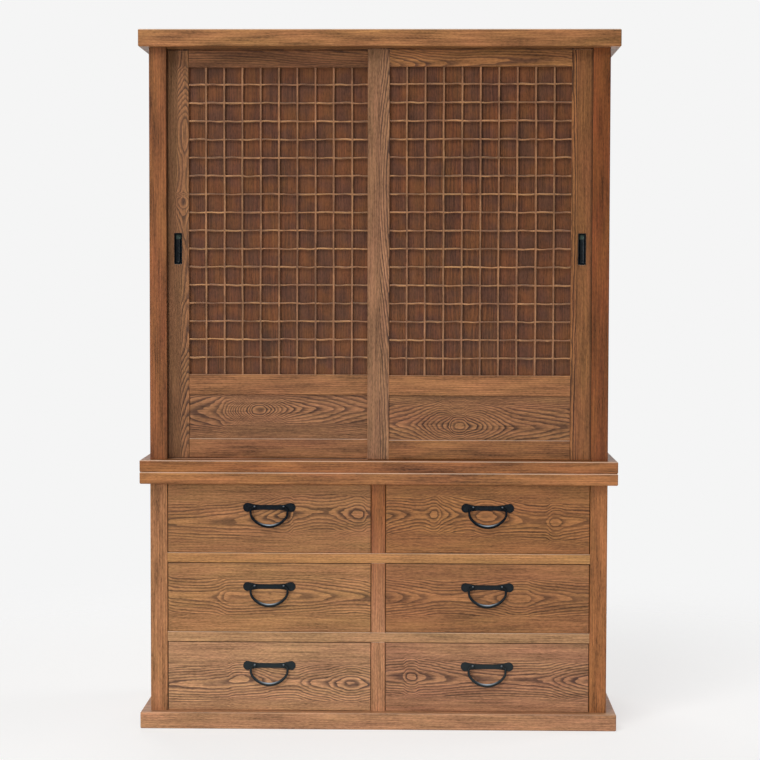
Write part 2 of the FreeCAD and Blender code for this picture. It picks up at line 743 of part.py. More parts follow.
def sliding_door(name, low_x, face_y, outer_side):
    """A framed door: its stiles, rails, lattice, boards and pull, as separate nodes."""
    position = (low_x, face_y, upper_floor)
    rails = ((bottom_rail_z, size.bottom_rail_height), (middle_rail_z, size.middle_rail_height),
             (top_rail_z, size.top_rail_height))
    backing_groove = (backing_y, size.backing_board_thickness)
    panel_groove = (size.lower_panel_setback, size.lower_panel_thickness)

    stiles = []
    for hand, stile_x in (("left", as_length(0)), ("right", door_width - size.stile_width)):
        stile = new_body(f"{name}_{hand}_stile")
        block(stile, (stile_x, 0, size.sill_shoulder_gap), (size.stile_width, size.door_thickness, door_height))
        dress(stile, "Chamfer", size.door_arris, along("z"))
        inward = 1 if hand == "left" else 0
        mortise_length = size.door_tenon_length + size.mortise_room
        mortise_x = stile_x + inward * (size.stile_width - mortise_length)
        groove_x = stile_x + inward * (size.stile_width - door_tongue)
        for bottom, height in rails:
            cut(stile, (mortise_x, tenon_y, bottom + size.door_tenon_shoulder),
                (mortise_length, size.door_tenon_thickness, height - 2 * size.door_tenon_shoulder))
        cut(stile, (groove_x, backing_groove[0], window_z - door_tongue),
            (door_tongue, backing_groove[1], window_height + 2 * door_tongue))
        cut(stile, (groove_x, panel_groove[0], lower_panel_z - door_tongue),
            (door_tongue, panel_groove[1], size.lower_panel_height + 2 * door_tongue))
        tongues(stile, stile_x, size.stile_width, True, True)
        if hand == outer_side:
            pull_centre = stile_x + size.stile_width / 2
            pull_outline(stile, 0, pull_centre, size.pull_width, size.pull_length, "Pocket",
                         size.pull_depth, size.pull_corner)
        stiles.append(stile)

    door_rails = [
        door_rail(f"{name}_bottom_rail", bottom_rail_z, size.bottom_rail_height,
                  [(*panel_groove, True)], at_foot=True),
        door_rail(f"{name}_middle_rail", middle_rail_z, size.middle_rail_height,
                  [(*panel_groove, False), (*backing_groove, True)]),
        door_rail(f"{name}_top_rail", top_rail_z, size.top_rail_height,
                  [(*backing_groove, False)], at_head=True),
    ]

    backing = new_body(f"{name}_backing_board", position)
    block(backing, (size.stile_width - door_tongue, backing_y, window_z - door_tongue),
          (window_width + 2 * door_tongue, size.backing_board_thickness, window_height + 2 * door_tongue))
    panel = new_body(f"{name}_lower_panel", position)
    block(panel, (size.stile_width - door_tongue, size.lower_panel_setback, lower_panel_z - door_tongue),
          (window_width + 2 * door_tongue, size.lower_panel_thickness,
           size.lower_panel_height + 2 * door_tongue))

    pull = new_body(f"{name}_pull", position)
    pull_outline(pull, -size.pull_depth, pull_centre, size.pull_width, size.pull_length, "Pad",
                 size.pull_depth + size.pull_rim, size.pull_corner)
    trough_depth = size.pull_depth + size.pull_rim - size.pull_floor
    pull_outline(pull, size.pull_rim, pull_centre, size.pull_width - 2 * size.pull_wall,
                 size.pull_length - 2 * size.pull_wall, "Pocket", trough_depth, size.pull_trough_corner)

    return [new_node(f"{name}_stiles", stiles, position), new_node(f"{name}_rails", door_rails, position),
            *door_lattice(name, position), backing, panel, pull]


def door_lattice(name, position):
    """Deep uprights, and thin crossbars let into them so that every crossing is flush."""
    bar = size.lattice_bar_width
    column_pitch = (window_width + bar) / (size.upright_count + 1)
    row_height = (window_height + bar) / (size.crossbar_count + 1)
    first_x = size.stile_width + column_pitch - bar
    first_z = window_z + row_height - bar
    columns_reach = (size.upright_count - 1) * column_pitch
    rows_reach = (size.crossbar_count - 1) * row_height
    crossbar_low = (size.stile_width, size.lattice_setback, first_z)
    crossbar = (window_width, size.crossbar_depth, bar)

    uprights = new_body(f"{name}_lattice_uprights", position)
    first = block(uprights, (first_x, size.lattice_setback, window_z), (bar, size.upright_depth, window_height))
    repeat(uprights, [first], "x", columns_reach, size.upright_count)
    notches = cut(uprights, crossbar_low, crossbar)
    repeat(uprights, [notches], "z", rows_reach, size.crossbar_count)

    crossbars = new_body(f"{name}_lattice_crossbars", position)
    first = block(crossbars, crossbar_low, crossbar)
    repeat(crossbars, [first], "z", rows_reach, size.crossbar_count)
    return [uprights, crossbars]


outer_edge = inner_side + size.door_post_entry
chest_pieces += sliding_door("left_door", -outer_edge, rear_door_face, "left")
chest_pieces += sliding_door("right_door", outer_edge - door_width, front_door_face, "right")


# Drawers. Each is drawn from the low front corner of its opening.

opening_width = (inner_width - size.centre_post_width) / 2
front_width = opening_width - 2 * size.drawer_side_gap
front_height = size.drawer_opening_height - size.drawer_foot_gap - size.drawer_top_gap
front_back_face = size.drawer_setback + size.drawer_front_thickness
side_start = front_back_face - size.drawer_side_lap
drawer_end = back_board_front - case_front - size.drawer_back_gap
bottom_z = size.drawer_foot_gap + size.drawer_bottom_rise
handle_x = opening_width / 2


def drawer_front(name, position):
    front = new_body(f"{name}_front", position)
    block(front, (size.drawer_side_gap, size.drawer_setback, size.drawer_foot_gap),
          (front_width, size.drawer_front_thickness, front_height))
    dress(front, "Chamfer", size.drawer_front_arris, front_edges)
    side = size.drawer_side_thickness
    for rebate_x in (size.drawer_side_gap, size.drawer_side_gap + front_width - side):
        cut(front, (rebate_x, side_start, size.drawer_foot_gap),
            (side, size.drawer_side_lap, size.drawer_side_height))
    cut(front, (size.drawer_side_gap + side, front_back_face - size.drawer_bottom_tongue, bottom_z),
        (front_width - 2 * side, size.drawer_bottom_tongue, size.drawer_bottom_thickness))
    for pin_side in (-1, 1):
        cut(front, (handle_x + pin_side * size.pin_spacing / 2 - size.pin_shank / 2, size.drawer_setback,
                    size.handle_height - size.pin_shank / 2),
            (size.pin_shank, size.drawer_front_thickness, size.pin_shank))
    return front


def drawer_box(name, position):
    """Sides lapped into the front, a bottom in grooves, and a back standing on the bottom."""
    side = size.drawer_side_thickness
    tongue = size.drawer_bottom_tongue
    members = []
    for hand in ("left", "right"):
        low_x = size.drawer_side_gap if hand == "left" else size.drawer_side_gap + front_width - side
        groove_x = low_x + side - tongue if hand == "left" else low_x
        board = new_body(f"{name}_{hand}_side")
        block(board, (low_x, side_start, size.drawer_foot_gap),
              (side, drawer_end - side_start, size.drawer_side_height))
        cut(board, (groove_x, front_back_face - tongue, bottom_z),
            (tongue, drawer_end - front_back_face + tongue, size.drawer_bottom_thickness))
        members.append(board)
    bottom = new_body(f"{name}_bottom")
    block(bottom, (size.drawer_side_gap + side - tongue, front_back_face - tongue, bottom_z),
          (front_width - 2 * (side - tongue), drawer_end - front_back_face + tongue,
           size.drawer_bottom_thickness))
    back_z = bottom_z + size.drawer_bottom_thickness
    back = new_body(f"{name}_back")
    block(back, (size.drawer_side_gap + side, drawer_end - side, back_z),
          (front_width - 2 * side, side, size.drawer_foot_gap + size.drawer_side_height - back_z))
    return new_node(f"{name}_box", members + [bottom, back], position)


# Drop handles. Each is drawn from the middle of its plate, on the drawer's face.

def prism(body, kind, diameter, length, position):
    """A many-sided prism or bore along X, measured across its corners."""
    made = body.newObject(f"PartDesign::{kind}Prism", "Prism")
    made.setExpression("Polygon", size.iron_side_count.formula)
    made.setExpression("Circumradius", (diameter / 2).formula)
    made.setExpression("Height", length.formula)
    made.AttachmentOffset = FreeCAD.Placement(
        FreeCAD.Vector(), FreeCAD.Rotation(FreeCAD.Vector(0, 1, 0), 90))
    for axis, coordinate in zip("xyz", position):
        made.setExpression(f"AttachmentOffset.Base.{axis}", as_length(coordinate).formula)
    made.MapMode = "ObjectXY"
    made.AttachmentSupport = [(origin_part(body, "XY_Plane"), "")]
    body.Tip = made
    return made


def arc_points(centre_x, centre_z, radius, start, end, count):
    """Points along an arc in the XZ plane after its start, up to and with its end."""
    for step in range(1, round(count.value) + 1):
        angle = start + (end - start) * step / count.value
        yield FreeCAD.Vector(centre_x + radius * math.cos(angle), 0, centre_z + radius * math.sin(angle))


def handle_plate(name):
    """A flat bar between two discs, with a long flare into each."""
    disc = size.plate_end_diameter.value / 2
    flare = size.plate_flare.value
    flare_z = size.plate_waist.value / 2 + flare
    disc_x = size.plate_length.value / 2 - disc
    lean = math.acos(flare_z / (disc + flare))
    flare_x = disc_x - (disc + flare) * math.sin(lean)
    quarter = [FreeCAD.Vector(flare_x, 0, flare_z - flare),
               *arc_points(flare_x, flare_z, flare, -math.pi / 2, lean - math.pi / 2, size.flare_arc_count),
               *arc_points(disc_x, 0, disc, math.pi / 2 + lean, 0, size.disc_arc_count)]
    half = quarter + [FreeCAD.Vector(point.x, 0, -point.z) for point in reversed(quarter[:-1])]
    outline = half + [FreeCAD.Vector(-point.x, 0, -point.z) for point in half]
    metal = Part.Face(Part.makePolygon(outline + outline[:1])).extrude(
        FreeCAD.Vector(0, -size.plate_thickness.value, 0))
    shank = size.pin_shank.value
    for pin_side in (-1, 1):
        corner = FreeCAD.Vector((pin_side * size.pin_spacing.value - shank) / 2,
                                -size.plate_thickness.value, -shank / 2)
        metal = metal.cut(Part.makeBox(shank, size.plate_thickness.value, shank, corner))
    plate = doc.addObject("Part::Feature", f"{name}_plate")
    plate.Label = f"{name}_plate"
    plate.Shape = metal
    return plate


def eye_pins(name):
    """Split pins: an eye for the bail, a square shank, and legs clinched behind the front."""
    pins = new_body(f"{name}_eye_pins")
    axis_y = -size.plate_thickness - size.pin_standoff
    low_x = -size.pin_spacing / 2
    shank_end = size.drawer_front_thickness
    half_shank = size.pin_shank / 2
    eye = prism(pins, "Additive", size.pin_eye_diameter, size.pin_eye_width,
                (low_x - size.pin_eye_width / 2, axis_y, 0))
    shank = block(pins, (low_x - half_shank, axis_y, -half_shank),
                  (size.pin_shank, shank_end - axis_y, size.pin_shank))
    legs = block(pins, (low_x - size.pin_clinch_length / 2, shank_end, -half_shank),
                 (size.pin_clinch_length, size.pin_clinch_thickness, size.pin_shank))
    bore = prism(pins, "Subtractive", size.bail_end_diameter + 4 * size.pin_eye_gap, size.pin_eye_width,
                 (low_x - size.pin_eye_width / 2, axis_y, 0))
    repeat(pins, [eye, shank, legs, bore], "x", size.pin_spacing, as_length(2))
    return pins


def bail_line():
    """Corners of the bail's right half, from the middle of the grip up and into the eye.

    A flat grip arc runs tangent into a corner arc, a straight side and a small shoulder."""
    half = size.bail_width.value / 2
    shoulder = size.bail_shoulder_radius.value
    corner = size.bail_corner_radius.value
    side_z = -size.bail_shoulder_drop.value
    drop = size.bail_drop.value + side_z
    inner = half - corner
    grip = (inner ** 2 + drop ** 2 - corner ** 2) / (2 * (drop - corner))
    grip_z = side_z - drop + grip
    turn = -math.atan2(grip_z - side_z, inner)
    return [FreeCAD.Vector(0, 0, grip_z - grip),
            *arc_points(0, grip_z, grip, -math.pi / 2, turn, size.bail_grip_count),
            *arc_points(inner, side_z, corner, turn, 0, size.bail_corner_count),
            FreeCAD.Vector(half, 0, -shoulder),
            *arc_points(half - shoulder, -shoulder, shoulder, 0, math.pi / 2, size.bail_shoulder_count),
            FreeCAD.Vector(half - shoulder - size.bail_stub.value, 0, 0)]


def bail_shape():
    """A flat-sided rod mitred at every corner of its line, each length tapering to a point."""
    line = bail_line()
    thin = size.bail_end_diameter.value / 2
    swell = size.bail_grip_diameter.value / 2 - thin
    radii = [thin + swell * (corner.z / size.bail_drop.value) ** 2 for corner in line]
    steps = [end - start for start, end in zip(line, line[1:])]
    ways = [FreeCAD.Vector(step).normalize() for step in steps]
    mitres = [before + after for before, after in zip(ways, ways[1:])] + [ways[-1]]
    count = round(size.iron_side_count.value)
    section = [line[0] + FreeCAD.Vector(0, math.sin(angle), math.cos(angle)) * radii[0]
               for angle in (2 * math.pi * (number + 1 / 2) / count for number in range(count))]
    sections = [section]
    for number, (step, mitre) in enumerate(zip(steps, mitres)):
        shrink = 1 - radii[number + 1] / radii[number]
        rays = [step - (point - line[number]) * shrink for point in section]
        section = [point + ray * ((line[number + 1] - point).dot(mitre) / ray.dot(mitre))
                   for point, ray in zip(section, rays)]
        sections.append(section)
    left = [[FreeCAD.Vector(-point.x, point.y, point.z) for point in section]
            for section in reversed(sections[1:])]
    rings = left + sections
    flats = [rings[0], rings[-1]]
    for before, after in zip(rings, rings[1:]):
        flats += [[before[corner - 1], before[corner], after[corner], after[corner - 1]]
                  for corner in range(count)]
    return Part.Solid(Part.Shell([Part.Face(Part.makePolygon(flat + flat[:1])) for flat in flats]))


def drop_handle(name, corner):
    """A fixed plate with two eye pins, and the bail that swings in them."""
    corner_x, corner_y, corner_z = corner
    x = corner_x + handle_x
    z = corner_z + size.handle_height
    handle = new_node(f"{name}_handle", [handle_plate(name), eye_pins(name)],
                      (x, corner_y + size.drawer_setback, z))
    bail = doc.addObject("Part::Feature", f"{name}_bail")
    bail.Label = f"{name}_bail"
    bail.Shape = bail_shape()
    place(bail, (x, corner_y + size.drawer_setback - size.plate_thickness - size.pin_standoff, z))
    return [handle, bail]


row_names = ["bottom", "middle", "top"]
for row in range(round(size.drawer_row_count.value)):
    row_name = row_names[row] if row < len(row_names) else f"row_{row + 1}"
    for hand, opening_x in (("left", -inner_side), ("right", size.centre_post_width / 2)):
        drawer_name = f"{row_name}_{hand}_drawer"
        drawer_corner = (opening_x, case_front, size.base_board_thickness + row * row_pitch)
        chest_pieces += [drawer_front(drawer_name, drawer_corner), drawer_box(drawer_name, drawer_corner)]
        chest_pieces += drop_handle(drawer_name, drawer_corner)


# Check every object, then write each piece to its own file

doc.recompute()
for item in doc.Objects:
    if "Invalid" in item.State or "Error" in item.State:
        raise ValueError(f"{item.Label} could not be made: {item.State}")
for piece in chest_pieces:
    if piece.Shape.isNull() or not piece.Shape.isValid():
        raise ValueError(f"{piece.Label} has no valid shape")

os.makedirs("parts", exist_ok=True)
for piece in chest_pieces:
    piece.Shape.exportStep(os.path.join("parts", f"{piece.Label}.step"))
print(len(chest_pieces), "pieces,", sum(len(piece.Shape.Solids) for piece in chest_pieces), "solids")
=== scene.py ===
import math

import bpy
import numpy as np
from mathutils import Matrix, Vector


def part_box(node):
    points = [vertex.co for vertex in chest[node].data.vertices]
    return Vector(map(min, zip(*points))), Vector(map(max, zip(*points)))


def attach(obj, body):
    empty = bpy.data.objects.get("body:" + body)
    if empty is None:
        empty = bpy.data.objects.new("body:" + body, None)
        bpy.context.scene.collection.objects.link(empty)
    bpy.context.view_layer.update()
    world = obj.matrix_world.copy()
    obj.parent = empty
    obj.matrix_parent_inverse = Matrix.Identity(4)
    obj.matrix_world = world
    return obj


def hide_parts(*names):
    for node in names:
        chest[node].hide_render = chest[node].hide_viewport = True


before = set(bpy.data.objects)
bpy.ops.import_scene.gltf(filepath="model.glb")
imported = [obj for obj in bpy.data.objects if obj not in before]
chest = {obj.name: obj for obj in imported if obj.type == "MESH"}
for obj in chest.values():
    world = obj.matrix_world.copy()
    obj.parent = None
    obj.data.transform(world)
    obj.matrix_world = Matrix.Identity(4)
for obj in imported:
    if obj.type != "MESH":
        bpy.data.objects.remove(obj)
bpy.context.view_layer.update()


# The studio
# The chest stands on a pale floor that runs out into an equally pale ground. A soft window light
# comes from the upper left of the front, and the pale floor and the walls throw some of it back.

def node(tree, kind, *inputs, **settings):
    """Adds one node; its inputs are set or linked in their order, and None leaves one as it is."""
    made = tree.nodes.new(kind)
    for name, value in settings.items():
        setattr(made, name, value)
    for socket, value in zip(made.inputs, inputs):
        if isinstance(value, bpy.types.NodeSocket):
            tree.links.new(value, socket)
        elif value is not None:
            socket.default_value = value
    return made.outputs


def maths(tree, operation, *inputs):
    """One step of arithmetic on numbers or sockets."""
    return node(tree, "ShaderNodeMath", *inputs, operation=operation)[0]


def ramp(tree, value, low, high, first, last, kind="SMOOTHSTEP"):
    """Goes from first to last while the value goes from low to high."""
    return node(tree, "ShaderNodeMapRange", value, low, high, first, last, interpolation_type=kind)[0]


def plain_view(tree):
    """1 for what the camera sees, in gloss or through glass too, and 0 for the light of the room."""
    ray = node(tree, "ShaderNodeLightPath")
    direct = maths(tree, "MAXIMUM", ray["Is Camera Ray"], ray["Is Glossy Ray"])
    return maths(tree, "MAXIMUM", direct, ray["Is Transmission Ray"])


def lamp(name, place, target, width, power, colour):
    """A soft square lamp that faces its target and isn't seen itself."""
    data = bpy.data.lights.new(name, "AREA")
    data.size = width
    data.energy = power
    data.color = colour
    shade = bpy.data.objects.new(name, data)
    shade.location = place
    shade.rotation_euler = (Vector(target) - Vector(place)).to_track_quat("-Z", "Y").to_euler()
    shade.visible_camera = False
    bpy.context.collection.objects.link(shade)
    return shade


chest_middle = (0, 0, 0.9)
lamp("window_light", (-3.0, -5.0, 1.7), chest_middle, 1.8, 92, (1.0, 0.98, 0.96))
lamp("ceiling_light", (-1.2, -3.6, 4.6), chest_middle, 2.2, 125, (1.0, 0.99, 0.97))
lamp("floor_bounce", (0.2, -2.6, 0.25), (0, 0, 0.40), 1.6, 18, (1.0, 0.98, 0.95))
for wall in (lamp("right_wall", (4.2, 1.2, 2.0), chest_middle, 2.6, 62, (1.0, 0.99, 0.98)),
             lamp("back_wall", (-0.8, 4.4, 2.6), chest_middle, 3.0, 105, (1.0, 0.99, 0.98))):
    wall.visible_glossy = False

world = bpy.data.worlds.new("pale_ground")
bpy.context.scene.world = world
world.use_nodes = True
sky = world.node_tree
sky.nodes.clear()
ambient = 0.13
pale_ground = 0.913
sky_level = ramp(sky, plain_view(sky), 0, 1, ambient, pale_ground, "LINEAR")
sky_light = node(sky, "ShaderNodeBackground", (1, 1, 1, 1), sky_level)[0]
node(sky, "ShaderNodeOutputWorld", sky_light)


def new_material(name):
    """An empty material and its tree."""
    material = bpy.data.materials.new(name)
    material.use_nodes = True
    material.node_tree.nodes.clear()
    return material, material.node_tree


def principled(tree, colour, roughness, gloss, normal):
    """A Principled shader without metal, with its colour, roughness, gloss and bumps."""
    shader = node(tree, "ShaderNodeBsdfPrincipled", colour, 0.0, roughness)[0]
    shader.node.inputs["Specular IOR Level"].default_value = gloss
    tree.links.new(normal, shader.node.inputs["Normal"])
    return shader


def add_mesh(name, points, faces, material, smooth=0):
    """An object at the origin from points and lists of their numbers; the first faces are smooth."""
    mesh = bpy.data.meshes.new(name)
    mesh.from_pydata(np.reshape(points, (-1, 3)).tolist(), [], faces)
    mesh.polygons.foreach_set("use_smooth", (np.arange(len(faces)) < smooth).tolist())
    mesh.materials.append(material)
    mesh.update()
    made = bpy.data.objects.new(name, mesh)
    bpy.context.collection.objects.link(made)
    return made


def disc(name, radius, rings, sides, material):
    """A flat disc on the floor: rings of points at even steps out from its middle."""
    turn = np.linspace(0, 2 * np.pi, sides, endpoint=False)
    out = np.linspace(0, radius, rings + 1)[1:]
    edge = np.stack([np.outer(out, np.cos(turn)), np.outer(out, np.sin(turn)),
                     np.zeros((rings, sides))], axis=-1)
    points = np.vstack([[(0, 0, 0)], edge.reshape(-1, 3)])
    index = 1 + np.arange(rings * sides).reshape(rings, sides)
    ahead = np.roll(index, -1, 1)
    fan = np.stack([np.zeros(sides, int), index[0], ahead[0]], axis=-1)
    walls = np.stack([index[:-1], index[1:], ahead[1:], ahead[:-1]], axis=-1).reshape(-1, 4)
    return add_mesh(name, points, fan.tolist() + walls.tolist(), material)


paper, tree = new_material("floor_paper")
spot = node(tree, "ShaderNodeTexCoord")["Object"]
away = node(tree, "ShaderNodeVectorMath", spot, operation="LENGTH")["Value"]
fibres = node(tree, "ShaderNodeTexNoise", spot, None, 240.0, 3.0)[0]
seen = plain_view(tree)
tone = maths(tree, "MULTIPLY", ramp(tree, fibres, 0, 1, 0.98, 1.02, "LINEAR"),
             ramp(tree, seen, 0, 1, 0.80, 0.43, "LINEAR"))
paper_tone = node(tree, "ShaderNodeCombineColor", tone, tone, tone)[0]
paper_bump = node(tree, "ShaderNodeBump", 0.1, 0.0005, 1.0, fibres)["Normal"]
lit_paper = principled(tree, paper_tone, 0.9, 0.0, paper_bump)
glow = maths(tree, "MULTIPLY", seen, 0.60)
glow_colour = node(tree, "ShaderNodeCombineColor", glow, glow, glow)[0]
tree.links.new(glow_colour, lit_paper.node.inputs["Emission Color"])
lit_paper.node.inputs["Emission Strength"].default_value = 1.0
clear = node(tree, "ShaderNodeBsdfTransparent")[0]
fade = ramp(tree, away, 1.0, 2.6, 0, 1)
seen_paper = node(tree, "ShaderNodeMixShader", fade, lit_paper, clear)[0]
node(tree, "ShaderNodeOutputMaterial", seen_paper)
floor = disc("studio_floor", 3.2, 16, 64, paper)
floor.location.z = -0.0005

camera_data = bpy.data.cameras.new("photo_camera")
camera_data.lens = 99.47
camera_data.sensor_width = 36
camera = bpy.data.objects.new("photo_camera", camera_data)
camera.location = (0.1118, -5.4907, 1.1546)
swing, tilt, lean = (math.radians(angle) for angle in (1.180, 90 - 2.961, 0.125))
camera.rotation_euler = (Matrix.Rotation(swing, 3, "Z") @ Matrix.Rotation(tilt, 3, "X")
                         @ Matrix.Rotation(lean, 3, "Z")).to_euler()
bpy.context.collection.objects.link(camera)
bpy.context.scene.camera = camera
bpy.context.scene.view_settings.view_transform = "Standard"


# Top, middle and base boards
# Four broad planks of ash, planed, rubbed with red-brown stain and waxed. They overhang the cases
# at the front and sides, and take the side frames' tenons from above or below.

RIGHT = (1, 0, 0)
BACK = (0, 1, 0)
DOWN = (0, 0, -1)


def mix_colours(tree, share, first, second):
    """Goes from the first colour to the second; each is a socket or three numbers."""
    ends = [end if isinstance(end, bpy.types.NodeSocket) else (*end, 1) for end in (first, second)]
    return node(tree, "ShaderNodeMix", share, None, None, None, None, None, *ends, data_type="RGBA")[2]


def build_sawn_wood():
    """Stained ash as a saw lays it open: rings about a heart line, darker where their pores begin.

    Ring number = rings at the heart + distance from the heart line x rings per metre. Each ring
    starts with a dark sharp edge and fades outward. Streaks and pores run along the grain."""
    group = bpy.data.node_groups.new("sawn_wood", "ShaderNodeTree")
    for name, value in (
            ("Place", (0, 0, 0)), ("Heart", 0.0), ("Rings", 0.0), ("Drift", 0.0),
            ("Heart Radius", 0.015), ("Rings per Metre", 118.0), ("Plain From", 0.035),
            ("Plain Tone", 1.0), ("Plain Figure", 0.55), ("Figure", 1.0), ("Mottle", 0.95),
            ("Light", (0.40, 0.19, 0.085, 1)), ("Dark", (0.13, 0.058, 0.034, 1)), ("Seed", 0.0)):
        kind = "Float" if isinstance(value, float) else {3: "Vector", 4: "Color"}[len(value)]
        socket = group.interface.new_socket(name, in_out="INPUT", socket_type=f"NodeSocket{kind}")
        socket.default_value = value
    for name, kind in (("Color", "Color"), ("Roughness", "Float"), ("Height", "Float")):
        group.interface.new_socket(name, in_out="OUTPUT", socket_type=f"NodeSocket{kind}")
    given = node(group, "NodeGroupInput")

    def streaks(length, width, detail, shift):
        """Noise drawn out along the grain, in flecks of that length and width, about zero."""
        own = node(group, "ShaderNodeVectorMath", (shift, 7.3, 3.1), None, None, given["Seed"],
                   operation="SCALE")[0]
        scaled = node(group, "ShaderNodeVectorMath", given["Place"], (1 / length, 1 / width, 1 / width),
                      own, operation="MULTIPLY_ADD")[0]
        noise = node(group, "ShaderNodeTexNoise", scaled, None, 1.0, detail)[0]
        return maths(group, "SUBTRACT", noise, 0.5)

    def add(part, share, whole):
        """Adds a share of a part to the whole."""
        return maths(group, "MULTIPLY_ADD", part, share, whole)

    across, depth = node(group, "ShaderNodeSeparateXYZ", given["Place"])[1:]
    aside = maths(group, "SUBTRACT", across, given["Heart"])
    deep = maths(group, "ADD", depth, given["Heart Radius"])
    reach = node(group, "ShaderNodeCombineXYZ", aside, deep, 0.0)[0]
    radius = node(group, "ShaderNodeVectorMath", reach, operation="LENGTH")["Value"]
    out = maths(group, "SUBTRACT", radius, given["Heart Radius"])
    beyond = maths(group, "MAXIMUM", maths(group, "SUBTRACT", out, given["Plain From"]), 0.0)
    crowding = 130.0
    rings = add(out, given["Rings per Metre"], given["Rings"])
    rings = add(beyond, crowding, rings)
    rings = add(streaks(0.07, 0.018, 2.0, 2.0), 1.0, rings)
    rings = add(streaks(0.022, 0.005, 1.0, 3.0), 0.35, rings)
    rings = add(streaks(0.35, 0.5, 1.0, 5.0), given["Drift"], rings)
    late = 0.08
    late_rings = maths(group, "ADD", rings, late)
    part = maths(group, "FRACT", late_rings)
    number = maths(group, "FLOOR", late_rings)
    edge = ramp(group, part, 0.0, late, 0.0, 1.0)
    feather = ramp(group, part, 0.16, 0.74, 1.0, 0.0)
    pores_ring = maths(group, "MULTIPLY", edge, feather)
    chance = node(group, "ShaderNodeTexWhiteNoise", None, add(given["Seed"], 31.0, number),
                  noise_dimensions="1D")[0]
    weight = add(chance, 0.4, 0.6)
    plain = maths(group, "DIVIDE", out, given["Plain From"])
    showing = maths(group, "MULTIPLY", weight, ramp(group, plain, 0.9, 1.8, 1.0, given["Plain Figure"]))
    plain_tone = ramp(group, plain, 0.7, 1.5, 1.0, given["Plain Tone"])
    stain = maths(group, "MULTIPLY", maths(group, "MULTIPLY", pores_ring, showing), given["Figure"])
    wood = mix_colours(group, stain, given["Light"], given["Dark"])
    fibre = streaks(0.11, 0.0026, 3.0, 11.0)
    band = streaks(0.15, 0.024, 3.0, 17.0)
    fleck = streaks(0.009, 0.0028, 2.0, 37.0)
    pore = ramp(group, streaks(0.012, 0.0014, 1.0, 23.0), 0.08, 0.20, 0.0, 1.0)
    shade = add(fibre, 1.5, 1.03)
    shade = add(band, given["Mottle"], shade)
    shade = add(fleck, 1.0, shade)
    shade = add(pore, -0.28, shade)
    shade = maths(group, "MULTIPLY", shade, plain_tone)
    hue = add(streaks(0.18, 0.03, 2.0, 29.0), 0.022, 0.5)
    wood = node(group, "ShaderNodeHueSaturation", hue, 1.0, shade, 1.0, wood)[0]
    roughness = add(stain, 0.12, add(pore, 0.2, 0.42))
    height = add(stain, -0.35, add(pore, -0.5, add(fibre, 0.8, 0.6)))
    node(group, "NodeGroupOutput", wood, roughness, height)
    return group


sawn_wood = build_sawn_wood()


def board_place(tree, along, across, depth, corner):
    """Object coordinates turned so that x runs along the grain, y across the face, z into it."""
    turn = Matrix((along, across, depth))
    spot = node(tree, "ShaderNodeTexCoord")["Object"]
    return node(tree, "ShaderNodeMapping", spot, -(turn @ Vector(corner)), turn.to_euler())[0]


def facing_up(tree):
    """How far a face looks up: 1 for a level top, 0 for an upright face."""
    return node(tree, "ShaderNodeSeparateXYZ", node(tree, "ShaderNodeTexCoord")["Normal"])[2]


def finish_wood(tree, place, gloss=0.12, arris_highlight=0.65, **values):
    """Places the sawn wood in a material with its own values, under a thin coat of wax.

    Upper arrises get a painted highlight: a pale tone mixed in by the given share. The wax shows most
    where it is seen edge on."""
    wood = node(tree, "ShaderNodeGroup", node_tree=sawn_wood)["Color"].node
    tree.links.new(place, wood.inputs["Place"])
    for name, value in values.items():
        socket = wood.inputs[name.replace("_", " ").title().replace(" Per ", " per ")]
        if isinstance(value, bpy.types.NodeSocket):
            tree.links.new(value, socket)
        elif isinstance(value, tuple):
            socket.default_value = (*value, 1)
        else:
            socket.default_value = value
    # Painted highlight: the upper arrises are lightened towards this pale tone, as light from above
    # would catch them.
    painted_highlight_tone = (0.80, 0.60, 0.46)
    up = facing_up(tree)
    arris = maths(tree, "MULTIPLY", ramp(tree, up, 0.15, 0.55, 0, 1), ramp(tree, up, 0.95, 0.985, 1, 0))
    colour = mix_colours(tree, maths(tree, "MULTIPLY", arris, arris_highlight), wood.outputs["Color"], painted_highlight_tone)
    grain = node(tree, "ShaderNodeBump", 0.35, 0.0007, 1.0, wood.outputs["Height"])["Normal"]
    shader = principled(tree, colour, wood.outputs["Roughness"], gloss, grain)
    edge_on = maths(tree, "POWER", node(tree, "ShaderNodeLayerWeight", 0.5)["Facing"], 3.0)
    tree.links.new(maths(tree, "MULTIPLY_ADD", edge_on, 0.25, 0.02), shader.node.inputs["Coat Weight"])
    shader.node.inputs["Coat Roughness"].default_value = 0.30
    node(tree, "ShaderNodeOutputMaterial", shader)


def ease_edges(name, width=0.0015):
    """Rounds a CAD piece's edges, after its loose triangles are joined and their flat faces merged."""
    joined = chest[name].modifiers.new("joined", "WELD")
    joined.merge_threshold = 0.00002
    flat = chest[name].modifiers.new("flat", "DECIMATE")
    flat.decimate_type = "DISSOLVE"
    flat.angle_limit = math.radians(1)
    eased = chest[name].modifiers.new("eased", "BEVEL")
    eased.width = width
    eased.segments = 3
    eased.angle_limit = math.radians(30)


def dress(name, material):
    """Gives a CAD piece its finish."""
    slots = chest[name].material_slots
    if len(slots):
        for place in slots:
            place.material = material
    else:
        chest[name].data.materials.append(material)


def plank(name, top, seed, light, dark, arris_highlight=0.65, mottle=2.3):
    """A long board along the chest, its figure worked out from its front top edge."""
    material, tree = new_material(f"{name}_wood")
    place = board_place(tree, RIGHT, DOWN, BACK, (-0.6, -0.25, top))
    finish_wood(tree, place, arris_highlight=arris_highlight, heart=-0.25, figure=0.35, drift=3.0, rings_per_metre=150.0,
                plain_from=5.0, mottle=mottle, light=light, dark=dark, seed=seed)
    dress(name, material)
    ease_edges(name, 0.002)


